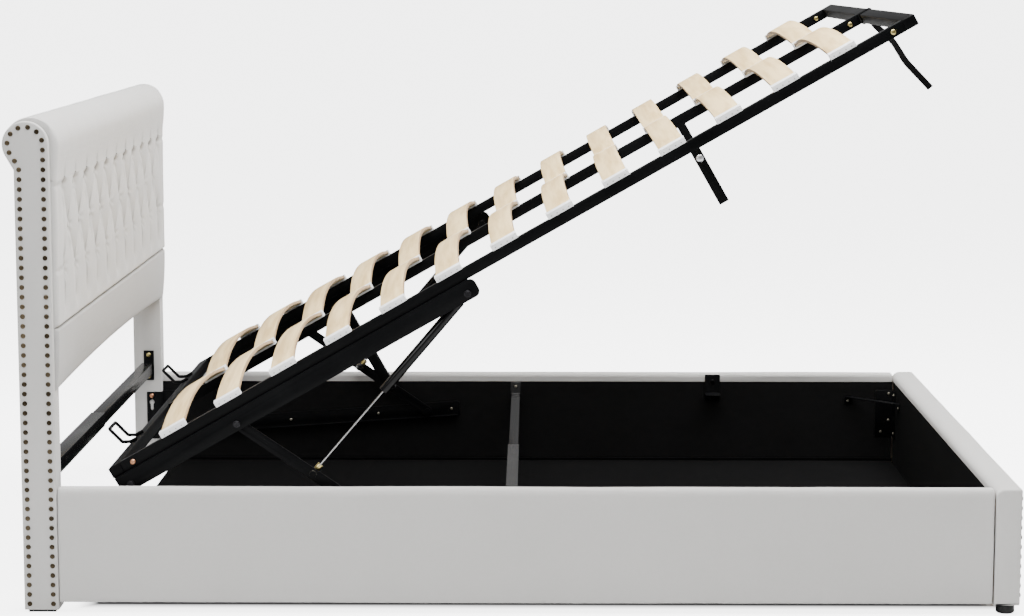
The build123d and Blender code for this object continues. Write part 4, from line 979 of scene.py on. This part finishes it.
# %% Tufted cushion
cloth_thickness, least_depth = 0.0008, 0.0004
puff_height, pad_base = 0.0082, 0.0034
dimple_reach, dimple_share = 0.019, 0.55
fan_folds, fan_turn, fan_radius, fan_width, fan_height = 8, 1.7, 0.021, 0.011, 0.0008
slow_drift, quick_drift = 0.0012, 0.0006
slow_scale, quick_scale, quick_stretch = 9.0, 38.0, 0.35
seam_depth, seam_share = 0.0108, 0.5
slit_depth, ridge_height, crease_depth = 0.0078, 0.0034, 0.0022
even_share = 0.86
plain_start, side_reach, side_round = 0.004, 0.042, 0.014
hem_reach, hem_end, hem_round = 0.05, 0.006, 0.007
flute_start, flute_full = 0.012, 0.034


def even_swell(y, z):
    """The swell of the diamonds and flutes, which evens out towards the sides and the hem."""
    hanging = ease(z, tuft_rows[-1] + flute_start, tuft_rows[-1] - flute_full)
    swell = diamond_swell(y, z) * (1 - hanging) + flute_swell(y) * hanging
    plain = ease(np.abs(y), outer_column + plain_start, outer_column + side_reach)
    settled = ease(z, cushion_low.z + hem_reach, cushion_low.z + hem_end)
    even = np.maximum(plain, settled)
    return swell * (1 - even) + even_share * even


def button_pull(y, z):
    """The distance to the nearest button, and the small folds that fan out round it."""
    to_button = np.full(y.shape, 1.0)
    fan = np.zeros(y.shape)
    for count, (by, bz) in enumerate(button_places):
        distance = np.hypot(y - by, z - bz)
        angle = np.arctan2(z - bz, y - by)
        closer = distance < to_button
        to_button = np.minimum(to_button, distance)
        ripple = np.cos(angle * fan_folds + count * fan_turn) * hill(distance - fan_radius, fan_width)
        fan = np.where(closer, ripple, fan)
    return to_button, fan


def cushion_depth(y, z):
    swell = even_swell(y, z)
    to_button, fan = button_pull(y, z)
    dimple = 1 - dimple_share * hill(to_button, dimple_reach)
    quick = slow_noise(y, z * quick_stretch, quick_scale, seed=3.0)
    drift = slow_noise(y, z, slow_scale) * slow_drift + quick * quick_drift
    depth = pad_base * dimple + puff_height * swell * dimple + fan * fan_height + drift * swell
    flow = ease(z, tuft_rows[0], cushion_high.z)
    depth = depth * (1 - flow) + seam_depth * flow
    depth = depth - slit_depth * slit(y, z) - crease_depth * side_crease(y, z) + ridge_height * ridge(y, z)
    side_edge = rounded_edge(np.minimum(cushion_high.y - y, y - cushion_low.y), side_round)
    low_edge = seam_share + (1 - seam_share) * rounded_edge(z - cushion_low.z, hem_round)
    return cloth_thickness + np.maximum(depth, least_depth) * side_edge * low_edge


cushion_mesh = relief_panel("tufted_cushion", "headboard_cushion", cushion_depth, step=0.0032)
# The cushion carries painted shade in its folds.
carry_painted_fold_shade(cushion_mesh)
cushion = add_piece("tufted_cushion", cushion_mesh, tufted_cloth_with_painted_shade, "headboard_cushion")
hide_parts("headboard_cushion")
print("cushion faces", len(cushion_mesh.polygons))

# %% Cloth-covered buttons
button_profile = [(8.4, 0), (8.9, 0.8), (8.6, 2.0), (7.2, 3.2), (4.6, 4.1), (1.6, 4.5)]
button_sink, button_sides = 0.0006, 20
button_axis = (1, 0, 0.06)
button_parts = []
for y, z in button_places:
    depth = float(cushion_depth(np.array([y]), np.array([z]))[0])
    place = (cushion_low.x + depth - button_sink, y, z)
    button_parts.append(turned(button_profile, place, button_axis, button_sides))
buttons = add_piece("covered_buttons", mesh_of("covered_buttons", button_parts), upholstery, "tuft_buttons")
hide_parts("tuft_buttons")
print("buttons", len(button_parts))

# %% [markdown]
# ## The band under the tufts
# A plain padded band closes the headboard below the tufting, and its lower edge is arched. It is
# the same kind of closed pad, with a low crown and a few long waves where the cloth was pulled.

# %% Padded band
band_low, band_high = box_of("headboard_band")
band_arch = 0.015
panel_reach = 0.805
band_base, band_crown, band_lean, band_wave = 0.0016, 0.0030, 0.0075, 0.0008
crown_power = 0.7
band_scale, band_stretch = 16.0, 0.5
band_top_round, band_hem_round, band_end_round = 0.006, 0.009, 0.01


def band_bottom(y):
    return band_low.z + band_arch * (1 - (y / panel_reach) ** 2)


def band_depth(y, z):
    share = (z - band_bottom(y)) / (band_high.z - band_bottom(y))
    bow = np.sin(math.pi * np.clip(share, 0, 1)) ** crown_power
    crown = band_base + band_crown * bow + band_lean * share
    waves = slow_noise(y * band_stretch, z, band_scale, seed=5.0) * band_wave
    seam_edge = seam_share + (1 - seam_share) * rounded_edge(band_high.z - z, band_top_round)
    edge = rounded_edge((z - band_bottom(y)), band_hem_round) * seam_edge
    ends = rounded_edge(np.minimum(band_high.y - y, y - band_low.y), band_end_round)
    return cloth_thickness + (crown + waves) * edge * ends


band_mesh = relief_panel("padded_band", "headboard_band", band_depth, step=0.0042, bottom_at=band_bottom)
# The band takes the darker cloth, which is painted shade.
band = add_piece("padded_band", band_mesh, band_cloth_with_painted_shade, "headboard_band")
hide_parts("headboard_band")
print("band faces", len(band_mesh.polygons))

# %% [markdown]
# ## Long padded covers
# The roll, the side rails and the footboard are foam and cloth pulled over a long board. Each is
# one closed section carried along the board. The section is drawn with many points, its ends are
# rounded off inwards, and slow noise gives the small waves of cloth that is stapled by hand.

# %% Helpers: stations, outward directions and a closed mesh
fine_steps, inner_start = (0.0, 0.0006, 0.0018, 0.0036, 0.006), 0.009


def edge_stations(start, end, step):
    """Places from start to end, a step apart and closer together near both ends."""
    inner = np.linspace(start + inner_start, end - inner_start, round((end - start) / step) + 1)
    return np.array([start + f for f in fine_steps] + list(inner) + [end - f for f in reversed(fine_steps)])


def section_normals(section):
    ahead = np.roll(section, -1, axis=0) - np.roll(section, 1, axis=0)
    normals = np.stack([ahead[:, 1], -ahead[:, 0]], axis=-1)
    normals /= np.linalg.norm(normals, axis=1)[:, None] + 1e-12
    after = np.roll(section, -1, axis=0)
    area = np.sum(section[:, 0] * after[:, 1] - after[:, 0] * section[:, 1])
    return normals if area > 0 else -normals


def closed_mesh(name, points, faces, degrees, weld=False):
    """A mesh whose faces all look outwards. Where weld is set, its needle faces go."""
    mesh = bpy.data.meshes.new(name)
    mesh.from_pydata(points, [], faces)
    edit = bmesh.new()
    edit.from_mesh(mesh)
    if weld:
        bmesh.ops.dissolve_degenerate(edit, dist=weld_gap, edges=edit.edges)
    bmesh.ops.recalc_face_normals(edit, faces=edit.faces)
    edit.to_mesh(mesh)
    edit.free()
    smooth_by_angle(mesh, degrees)
    return mesh


# %% Helper: carry a closed section along an axis
def swept_cover(name, section_at, stations, place, wave, end_round):
    """A closed cover made of one section per station.

    section_at(row) gives a row's section, place(a, b, station) puts a point of it in the bed, and
    wave(a, b, station) says how far that point stands out.
    """
    points = []
    for row, station in enumerate(stations):
        section = section_at(row)
        normals = section_normals(section)
        from_end = min(station - stations[0], stations[-1] - station)
        inwards = end_round * (1 - float(rounded_edge(np.array([from_end]), end_round)[0]))
        for (a, b), (na, nb) in zip(section, normals):
            out = wave(a, b, station) - inwards
            points.append(place(a + na * out, b + nb * out, station))
    count = len(section)
    faces = []
    for row in range(len(stations) - 1):
        for step in range(count):
            a, b = row * count + step, row * count + (step + 1) % count
            faces.append((a, b, b + count, a + count))
    faces.append(tuple(range(count)))
    faces.append(tuple(range(len(points) - 1, len(points) - 1 - count, -1)))
    return closed_mesh(name, points, faces, degrees=55, weld=True)


# %% Helpers: lines and arcs for a section
def along_path(corners, step):
    """Points at an even step along a closed line of corners, with every corner kept."""
    points = []
    for start, end in zip(corners, corners[1:] + corners[:1]):
        count = max(1, round(math.dist(start, end) / step))
        for i in range(count):
            points.append([a + (b - a) * i / count for a, b in zip(start, end)])
    return np.array(points)


def arc_points(centre, radii, first, last, count):
    """Points on an arc from one angle to another, in degrees. The arc may be oval."""
    angles = [math.radians(first + (last - first) * i / count) for i in range(count + 1)]
    return [(centre[0] + radii[0] * math.cos(t), centre[1] + radii[1] * math.sin(t)) for t in angles]


# %% Headboard roll
roll_low, roll_high = box_of("headboard_roll")
roll_radius = 0.058
roll_centre = (roll_high.x - roll_radius, roll_high.z - roll_radius)
roll_overhang, roll_thickness, back_drop = 0.017, 0.064, 0.06
crest_sweep, crest_steps = 232, 46
roll_end_reach, roll_end_round = 0.014, 0.003
roll_seam_reach, back_calm = 0.012, 0.2
head_face = roll_high.x - roll_overhang
roll_back = head_face - roll_thickness
roll_start = (head_face + seam_depth + cloth_thickness, roll_low.z)
rise_run, rise_height = roll_high.x - roll_start[0], roll_centre[1] - roll_start[1]
front_rise = [
    (roll_start[0] + rise_run * (3 * t * t - 2 * t ** 3), roll_start[1] + rise_height * t)
    for t in (0, 0.08, 0.17, 0.26, 0.36, 0.47, 0.58, 0.7, 0.82, 0.92)
]
crest = arc_points(roll_centre, (roll_radius, roll_radius), 0, crest_sweep, crest_steps)
roll_foot = [(roll_back, roll_centre[1] - back_drop), (roll_back, roll_low.z)]
roll_section = np.array(front_rise + crest + roll_foot)


def two_waves(slow_at, quick_at, slow, quick):
    """A long wave and a short one added, as cloth has that is stapled by hand."""
    return noise.noise(slow_at) * slow + noise.noise(quick_at) * quick


def roll_wave(a, b, station):
    slow_at = (a * 12, b * 12, station * 7)
    quick_at = (a * 30, b * 30, station * 26)
    lift = two_waves(slow_at, quick_at, slow=0.0009, quick=0.0004)
    if a < head_face:
        return lift * (back_calm if a < roll_back + mm else 1.0)
    seam = min(1.0, max(0.0, (b - roll_low.z) / roll_seam_reach))
    return lift * seam - slit_depth * float(slit(np.array([station]), np.array([b]))[0])


def roll_place(a, b, station):
    """The front of the roll draws back to the post at both ends."""
    if a > head_face:
        from_end = min(station - roll_low.y, roll_high.y - station)
        a = head_face + (a - head_face) * float(rounded_edge(np.array([from_end]), roll_end_reach)[0])
    return (a, station, b)


roll_stations = edge_stations(roll_low.y, roll_high.y, step=0.0055)
roll_mesh = swept_cover(
    "headboard_scroll_roll", lambda row: roll_section, roll_stations, roll_place, roll_wave, roll_end_round
)
# The roll carries the same painted fold shade. It is read by height and across only, so it also falls on
# the roll's back as faint marks.
carry_painted_fold_shade(roll_mesh)
roll = add_piece("headboard_scroll_roll", roll_mesh, tufted_cloth_with_painted_shade, "headboard_roll")
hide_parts("headboard_roll")
print("roll faces", len(roll_mesh.polygons))

# %% Side rail covers
board_depth, foam_depth = 0.030, 0.010
board_under_top, board_over_bottom = 0.0094, 0.0033
rail_wrap = 0.022
low_round = 0.003
outer_centre, outer_round = (0.010, 0.018), (0.010, 0.0195)
inner_centre, inner_round = (0.009, 0.010), (0.0095, 0.0115)
rail_bulge = ((0.0006, 0.06), (0.0012, 0.12))
upper_bulge, upper_bulge_drop = 0.0008, 0.06
rail_foam = 0.0002
head_gap = 0.0008
hidden_depth = 0.008
face_margin = 0.0005
for side, label in ((-1, "left"), (1, "right")):
    low, high = box_of(f"side_rail_cover_{label}")
    outer = max(abs(low.y), abs(high.y))
    inner_face = min(abs(low.y), abs(high.y))
    top, bottom = high.z, low.z
    board_inner, board_outer = outer - board_depth, outer - foam_depth
    board_top, board_bottom = top - board_under_top, bottom + board_over_bottom
    wrap_bottom = top - rail_wrap
    corners = (
        [(board_inner, board_bottom), (board_inner, bottom)]
        + arc_points((outer - low_round, bottom + low_round), (low_round, low_round), 270, 360, 4)
        + [(outer + out, bottom + up) for out, up in rail_bulge]
        + [(outer + upper_bulge, top - upper_bulge_drop)]
        + arc_points((outer - outer_centre[0], top - outer_centre[1]), outer_round, 0, 90, 8)
        + arc_points((inner_face + inner_centre[0], top - inner_centre[1]), inner_round, 90, 180, 8)
        + [(inner_face, wrap_bottom), (board_inner, wrap_bottom), (board_inner, board_top)]
        + [(board_outer, board_top), (board_outer, board_bottom)]
    )
    section = along_path(corners, step=0.009)

    def rail_wave(a, b, station, side=side, board_outer=board_outer, top=top):
        if a < board_outer + face_margin and b < top - hidden_depth:
            return 0.0
        slow_at = (station * 3.2, b * 7, side * 5.0)
        quick_at = (station * 15, b * 15, side * 9.0)
        return two_waves(slow_at, quick_at, slow=0.0009, quick=0.00035) + rail_foam

    stations = edge_stations(low.x + head_gap, high.x, step=0.012)
    mesh = swept_cover(
        f"side_rail_padding_{label}", lambda row, section=section: section, stations,
        lambda a, b, s, side=side: (s, a * side, b), rail_wave, end_round=0.006
    )
    rail_cover = add_piece(f"side_rail_padding_{label}", mesh, upholstery, f"side_rail_cover_{label}")
    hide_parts(f"side_rail_cover_{label}")
    print(label, "rail cover faces", len(mesh.polygons))

# %% Section of the footboard cover
foot_low, foot_high = box_of("footboard_cover")
foot_inner, foot_outer = foot_low.x, foot_high.x
foot_top, foot_bottom = foot_high.z, foot_low.z
foot_wrap_depth, foot_wrap_drop = 0.003, 0.0236
foot_board_inner, foot_board_outer = foot_inner + foot_wrap_depth, foot_outer - foam_depth
foot_board_top = foot_top - board_under_top
foot_wrap = foot_top - foot_wrap_drop
foot_low_round, foot_middle_height = 0.004, 0.12
foot_low_centre = (foot_outer - foot_low_round, foot_bottom + foot_low_round)
foot_edge_inset, foot_edge_round = 0.0045, (0.0045, 0.005)
foot_edge_centre = (foot_outer - foot_edge_inset, foot_top - foot_edge_inset)
foot_crown_run, foot_crown_drop, foot_crown_round = 0.022, 0.0170, (0.022, 0.0175)
foot_crown_centre = (foot_inner + foot_crown_run, foot_top - foot_crown_drop)
foot_corners = (
    [(foot_board_outer, foot_bottom)]
    + arc_points(foot_low_centre, (foot_low_round, foot_low_round), 270, 360, 4)
    + [(foot_outer, foot_bottom + foot_middle_height)]
    + arc_points(foot_edge_centre, foot_edge_round, 0, 90, 7)
    + arc_points(foot_crown_centre, foot_crown_round, 90, 180, 10)
    + [(foot_inner, foot_wrap), (foot_board_inner, foot_wrap), (foot_board_inner, foot_board_top)]
    + [(foot_board_outer, foot_board_top)]
)
foot_section = along_path(foot_corners, step=0.008)


def in_board_space(a, b):
    """Whether a point of the section lies on the hollow that the board fills."""
    on_wrap = a < foot_board_inner - weld_gap and b > foot_wrap + weld_gap
    return a < foot_board_outer + weld_gap and b < foot_board_top + weld_gap and not on_wrap


in_hollow = np.array([in_board_space(a, b) for a, b in foot_section])
foot_solid_section = foot_section.copy()
foot_solid_section[in_hollow, 1] = foot_bottom
foot_board_half = foot_high.y - foam_depth


print("footboard section", len(foot_section), "points, beside the board", int(in_hollow.sum()))

# %% Footboard cover
def foot_wave(a, b, station):
    if a < foot_board_outer + face_margin and b < foot_top - hidden_depth:
        return 0.0
    slow_at = (station * 4, b * 8, 21.0)
    quick_at = (station * 16, b * 16, 2.0)
    return two_waves(slow_at, quick_at, slow=0.0008, quick=0.0003)


foot_end_insets = (0.0095, 0.0045, 0.003, 0.0018, 0.0009, 0.0003, 0)
foot_end = [foot_high.y - inset for inset in foot_end_insets]
foot_step = 0.012
foot_count = round(2 * foot_board_half / foot_step) + 1
foot_middle = list(np.linspace(-foot_board_half, foot_board_half, foot_count))
foot_start = [-v for v in reversed(foot_end)]
foot_stations = [*foot_start, -foot_board_half, *foot_middle, foot_board_half, *foot_end]


def foot_section_at(row):
    """The section with the board's space in it, and the filled one at both ends."""
    at_end = len(foot_end)
    inside = at_end < row < len(foot_stations) - 1 - at_end
    return foot_section if inside else foot_solid_section


foot_mesh = swept_cover(
    "footboard_padding", foot_section_at, foot_stations, lambda a, b, s: (a, s, b), foot_wave,
    end_round=0.0045
)
footboard = add_piece("footboard_padding", foot_mesh, upholstery, "footboard_cover")
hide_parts("footboard_cover")
print("footboard faces", len(foot_mesh.polygons))

# %% Rounded posts and back cover
padded_rounding = {"headboard_post_left": 4.5, "headboard_post_right": 4.5, "headboard_back_cover": 3.0}
for node, radius in padded_rounding.items():
    piece = rounded_copy(node, radius * mm, segments=3)
print("rounded pads", list(padded_rounding))

# %% [markdown]
# ## The platform's own directions
# The platform stands open, so its pieces are easier to make in its own directions: along the
# platform from head to foot, and straight up from it. The tilt is the angle of the open bed, and
# the ends and the top are read from the end rails, turned back by that angle.

# %% Along and above the platform
open_tilt = math.radians(29.65)
deck_along = Vector((math.cos(open_tilt), 0, math.sin(open_tilt)))
deck_up = Vector((-math.sin(open_tilt), 0, math.cos(open_tilt)))


def deck_span(node):
    """Lowest and highest (station, lift) of a node, in the platform's directions."""
    points = np.array([v.co[:] for v in frame["nodes"][node].data.vertices])
    stations = points @ np.array(deck_along)
    lifts = points @ np.array(deck_up)
    return (stations.min(), lifts.min()), (stations.max(), lifts.max())


def deck_spot(station, lift, y):
    return deck_along * station + deck_up * lift + Vector((0, y, 0))


rail_from, rail_to = deck_span("deck_end_rail_foot")
print("foot end rail", [round(v, 4) for v in rail_from], [round(v, 4) for v in rail_to])

# %% [markdown]
# ## The slats
# Bowed birch strips: the faces show long grain, and the cut edges show the plies as thin dark and
# light lines. One mesh carries both finishes, and a face takes the edge finish where it looks
# along the platform.

# %% Slats with ply edges
slat_rounding = 0.9 * mm
ply_facing = 0.8
for side in ("left", "right"):
    slats = rounded_copy(f"slats_{side}", slat_rounding)
    slats.data.materials.append(birch_edge)
    for face in slats.data.polygons:
        if abs(face.normal.dot(deck_along)) > ply_facing:
            face.material_index = 1
    print("slats", side, "faces", len(slats.data.polygons))

# %% [markdown]
# ## Marks on the slat caps
# Each white cap is clipped to its rail by small pins whose ends show as a row of dots.

# %% Cap pins
pin_profile = [(1.3, 0), (1.3, 0.25), (1.0, 0.45)]
pin_lift, pin_sides = 0.0045, 10
pin_shifts = (-0.022, -0.008, 0.007, 0.021)
pin_finish = coated_finish(
    "cap pin", dark=(0.1, 0.1, 0.1), light=(0.2, 0.2, 0.2), roughness=(0.4, 0.6), grit=900.0, depth=0.00005
)
pin_parts = []
for low, high in loose_boxes("slat_caps_side"):
    centre = middle((low, high))
    side = 1 if centre.y > 0 else -1
    face = high.y if side > 0 else low.y
    station = centre.dot(deck_along)
    for shift in pin_shifts:
        spot = deck_spot(station + shift, rail_to[1] + pin_lift, face)
        pin_parts.append(turned(pin_profile, spot, (0, side, 0), pin_sides))
add_piece("cap_pins", mesh_of("cap_pins", pin_parts), pin_finish, "slat_caps_side")
print("cap pins", len(pin_parts))

# %% [markdown]
# ## Gas struts
# The cylinder is gloss black and the rod is polished steel, with a brass end where it screws into
# its eye. The rod in the photograph is thinner than the solid, so its round shaft is drawn in
# towards the strut's own line, and the eye stays as it is.

# %% Cylinders and rods
eye_radius, eye_margin = 0.011, 0.002
shaft_reach, shaft_share = 0.0045, 0.5
brass_reach = 0.026
cylinder_rounding, rod_rounding = 0.5 * mm, 0.3 * mm
for side in ("left", "right"):
    rounded_copy(f"gas_cylinder_{side}", cylinder_rounding, strut_paint, sharp=40)
    top = box_of(f"gas_cylinder_{side}")[1] - Vector((eye_radius, 0, eye_radius))
    low, high = box_of(f"gas_rod_{side}")
    foot = low + Vector((eye_radius, 0, eye_radius))
    top.y = foot.y = (low.y + high.y) / 2
    line = (top - foot).normalized()
    rod = rounded_copy(f"gas_rod_{side}", rod_rounding, polished_rod, sharp=40)
    for vert in rod.data.vertices:
        reach = vert.co - foot
        off = reach - line * reach.dot(line)
        if off.length < shaft_reach and reach.dot(line) > eye_radius + eye_margin:
            vert.co -= off * (1 - shaft_share)
    rod.data.materials.append(brass)
    for face in rod.data.polygons:
        if eye_radius < (Vector(face.center) - foot).length < brass_reach:
            face.material_index = 1
    print("strut", side, "length", round((top - foot).length, 4))

# %% [markdown]
# ## Nuts and rings at the pivots
# Each arm turns on three pins, and a flat nut closes each pin on the arm's outer face. The strut's
# stud comes through the long link in a dull zinc ring. The arm slides right over that ring when
# the bed shuts, so the ring is made flatter than the solid's.

# %% Pivot nuts
nut_profile = [(8.0, 0), (8.0, 0.6), (6.8, 0.7), (6.8, 3.4), (6.2, 3.9), (3.6, 3.9), (3.4, 3.2)]
nut_sides = 24
arm_pins = {
    "strut": Vector((-0.10675, 0, 0.70322)), "long link": Vector((-0.61429, 0, 0.41431)),
    "head link": Vector((-0.84937, 0, 0.28050)),
}
nut_finish = coated_finish(
    "blacked nut", dark=(0.012, 0.012, 0.013), light=(0.045, 0.045, 0.048), roughness=(0.18, 0.4), **metal
)
for side, sign in (("left", -1), ("right", 1)):
    low, high = box_of(f"deck_arm_{side}")
    face = low.y if sign < 0 else high.y
    nuts = [
        turned(nut_profile, (pin.x, face, pin.z), (0, sign, 0), nut_sides)
        for pin in arm_pins.values()
    ]
    nut_mesh = mesh_of(f"pivot_nuts_{side}", nuts, degrees=30)
    add_piece(f"pivot_nuts_{side}", nut_mesh, nut_finish, f"deck_arm_{side}")
    print("nuts", side, "on the arm's face at", round(face, 4))

# %% Zinc ring round each strut stud
ring_flatness = 0.45
ring_height, ring_margin = 0.001, 0.00002
flat_facing = 0.98
for side, sign in (("left", -1), ("right", 1)):
    low, high = box_of(f"long_link_{side}")
    link_face = max(abs(low.y), abs(high.y)) - ring_height
    mesh = bpy.data.objects[f"long_link_{side}_rounded"].data
    mesh.materials.append(dull_zinc)
    for vertex in mesh.vertices:
        proud = abs(vertex.co.y) - link_face
        if proud > 0:
            vertex.co.y = sign * (link_face + proud * ring_flatness)
    proud_faces = [f for f in mesh.polygons if abs(f.center.y) > link_face + ring_margin]
    ring_faces = [f for f in proud_faces if abs(f.normal.y) < flat_facing]
    for face in ring_faces:
        face.material_index = 1
    print("stud ring", side, "faces", len(ring_faces))

# %% [markdown]
# ## The pull strap
# A strip of webbing goes round the foot rail, and its tail hangs down with soft bends in it. The
# loop and the tail are thin closed strips with a raised rib down each edge.

# %% Helper: a strip of webbing along a path
strip_points, strap_thickness = 9, 0.0022
plain_rib, rib_start, rib_run, rim_rib = 0.75, 0.55, 0.3, 0.35


def webbing_strip(name, path, across, normals, width, closed=False):
    """A strip with a raised rib near each edge. It is closed into a loop where closed is set."""
    shares = np.linspace(-1, 1, strip_points)
    ribs = plain_rib + (1 - plain_rib) * np.clip((np.abs(shares) - rib_start) / rib_run, 0, 1)
    ribs[0] = ribs[-1] = rim_rib
    upper, lower = list(zip(shares, ribs)), list(zip(shares[::-1], -ribs[::-1]))
    ring = upper + lower
    points, faces = [], []
    for spot, side, normal in zip(path, across, normals):
        for share, rib in ring:
            points.append(spot + side * (share * width / 2) + normal * (rib * strap_thickness / 2))
    count, rows = len(ring), len(path)
    for row in range(rows if closed else rows - 1):
        ahead = (row + 1) % rows
        for step in range(count):
            beside = (step + 1) % count
            here, there = row * count, ahead * count
            faces.append((here + step, here + beside, there + beside, there + step))
    if not closed:
        faces.append(tuple(reversed(range(count))))
        faces.append(tuple(range((rows - 1) * count, rows * count)))
    return closed_mesh(name, [tuple(p) for p in points], faces, degrees=50)


def smooth_corners(corners, radius, steps=8):
    """A path that rounds each corner of a broken line with a short curve."""
    path = [corners[0]]
    for before, corner, after in zip(corners, corners[1:], corners[2:]):
        start = corner + (before - corner).normalized() * radius
        end = corner + (after - corner).normalized() * radius
        for i in range(steps + 1):
            t = i / steps
            path.append(start * (1 - t) ** 2 + corner * (2 * t * (1 - t)) + end * t ** 2)
    path.append(corners[-1])
    return path


def even_path(path, step):
    """The same path with its points at an even step."""
    lengths = [0.0]
    for a, b in zip(path, path[1:]):
        lengths.append(lengths[-1] + (b - a).length)
    places = np.linspace(0, lengths[-1], max(2, round(lengths[-1] / step)))
    columns = [np.interp(places, lengths, [p[i] for p in path]) for i in range(3)]
    return [Vector(values) for values in zip(*columns)]


# %% Strap loop
strap_y = -0.040
strap_width, tail_width = 0.025, 0.016
strap_gap, strap_turn = 0.0016, 0.004
sideways = Vector((0, 1, 0))
loop_from = (rail_from[0] - strap_gap, rail_from[1] - strap_gap)
loop_to = (rail_to[0] + strap_gap, rail_to[1] + strap_gap)
loop_corners = [loop_from, (loop_to[0], loop_from[1]), loop_to, (loop_from[0], loop_to[1])]
corner_spots = [deck_spot(a, b, strap_y) for a, b in loop_corners]
start_spot = (corner_spots[0] + corner_spots[1]) / 2
loop_path = smooth_corners([start_spot, *corner_spots[1:], corner_spots[0], start_spot], strap_turn, 5)[:-1]
loop_normals = []
for before, after in zip(loop_path[-1:] + loop_path[:-1], loop_path[1:] + loop_path[:1]):
    loop_normals.append((after - before).cross(sideways).normalized())
loop_across = [sideways] * len(loop_path)
loop_mesh = webbing_strip("strap_loop", loop_path, loop_across, loop_normals, strap_width, closed=True)
strap_loop = add_piece("strap_loop", loop_mesh, webbing, "pull_strap")
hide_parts("pull_strap")
print("strap loop points", len(loop_path))

# %% Strap tail
tail_top = rail_from[1] - strap_gap - strap_thickness / 2
tail_bends = [(-0.008, 0), (-0.008, 0.014), (0.012, 0.070), (0.015, 0.129), (0.037, 0.215)]
tail_turn, tail_step = 0.012, 0.004
tail_twist, twist_rate = 0.35, 5.0
tail_corners = [deck_spot(rail_to[0] + along, tail_top - drop, strap_y) for along, drop in tail_bends]
tail_path = even_path(smooth_corners(tail_corners, tail_turn), tail_step)
tail_across, tail_normals = [], []
for index in range(len(tail_path)):
    ahead = tail_path[min(index + 1, len(tail_path) - 1)] - tail_path[max(index - 1, 0)]
    turn = tail_twist * math.sin(index / len(tail_path) * twist_rate)
    flat = ahead.normalized().cross(sideways)
    tail_across.append((flat * math.cos(turn) + sideways * math.sin(turn)).normalized())
    tail_normals.append(ahead.normalized().cross(tail_across[-1]).normalized())
tail_mesh = webbing_strip("strap_tail", tail_path, tail_across, tail_normals, tail_width)
strap_tail = add_piece("strap_tail", tail_mesh, webbing, "pull_strap")
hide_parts("pull_strap")
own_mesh(strap_tail)
print("strap tail", round(sum((b - a).length for a, b in zip(tail_path, tail_path[1:])), 3))

# %% [markdown]
# ## Linings and the storage floor
# Black felt is pulled over the inside of the box and over the floor boards. The felt is a thin
# closed sheet with slow waves in it. The floor boards butt against each other with the felt
# between them, so each dressed board is a little longer than its solid and meets the next.

# %% Felt on the sides and the floor
felt_step, felt_wave = 0.03, 0.0004
on_face = 1e-5


def felt_copy(node, axis):
    """A copy of a thin panel, cut into many faces across its two broad axes."""
    low, high = box_of(node)
    mesh, edit = joined_faces(node)
    for cut in range(3):
        if cut == axis:
            continue
        normal = Vector([1.0 if i == cut else 0.0 for i in range(3)])
        count = round((high[cut] - low[cut]) / felt_step)
        for i in range(1, count):
            spot = low.copy()
            spot[cut] = low[cut] + (high[cut] - low[cut]) * i / count
            geometry = edit.verts[:] + edit.edges[:] + edit.faces[:]
            bmesh.ops.bisect_plane(edit, geom=geometry, plane_co=spot, plane_no=normal, dist=weld_gap)
    edit.to_mesh(mesh)
    edit.free()
    return mesh, low, high


print("felt helper ready")

# %% Floor boards
seam_half = 0.001
seam_dip, seam_dip_reach = 0.0007, 0.004
for index in range(1, 5):
    node = f"floor_panel_{index}"
    mesh, low, high = felt_copy(node, 2)
    for vert in mesh.vertices:
        if index > 1 and abs(vert.co.x - low.x) < on_face:
            vert.co.x -= seam_half
        if index < 4 and abs(vert.co.x - high.x) < on_face:
            vert.co.x += seam_half
        if vert.co.z > high.z - on_face:
            edge = min(vert.co.x - low.x, high.x - vert.co.x)
            lift = noise.noise((vert.co.x * 5, vert.co.y * 5, index)) * felt_wave
            vert.co.z += lift - seam_dip * max(0.0, 1 - edge / seam_dip_reach)
    smooth_by_angle(mesh, degrees=40)
    board = add_piece(f"floor_board_felt_{index}", mesh, floor_felt_with_painted_shade, node)
    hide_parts(node)
    print(node, "faces", len(mesh.polygons))

# %% Side and foot linings
for node in ("side_rail_lining_left", "side_rail_lining_right", "footboard_lining"):
    axis = 0 if node == "footboard_lining" else 1
    mesh, low, high = felt_copy(node, axis)
    inward = 1 if low[axis] < 0 and axis == 1 else -1
    face = high[axis] if inward > 0 else low[axis]
    for vert in mesh.vertices:
        if abs(vert.co[axis] - face) < on_face:
            wave = noise.noise((vert.co.x * 3, vert.co.y * 3, vert.co.z * 6 + 4)) * felt_wave
            vert.co[axis] -= inward * abs(wave)
    smooth_by_angle(mesh, degrees=40)
    felt = add_piece(f"{node}_felt", mesh, lining, node)
    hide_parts(node)
    print(node, "faces", len(mesh.polygons))
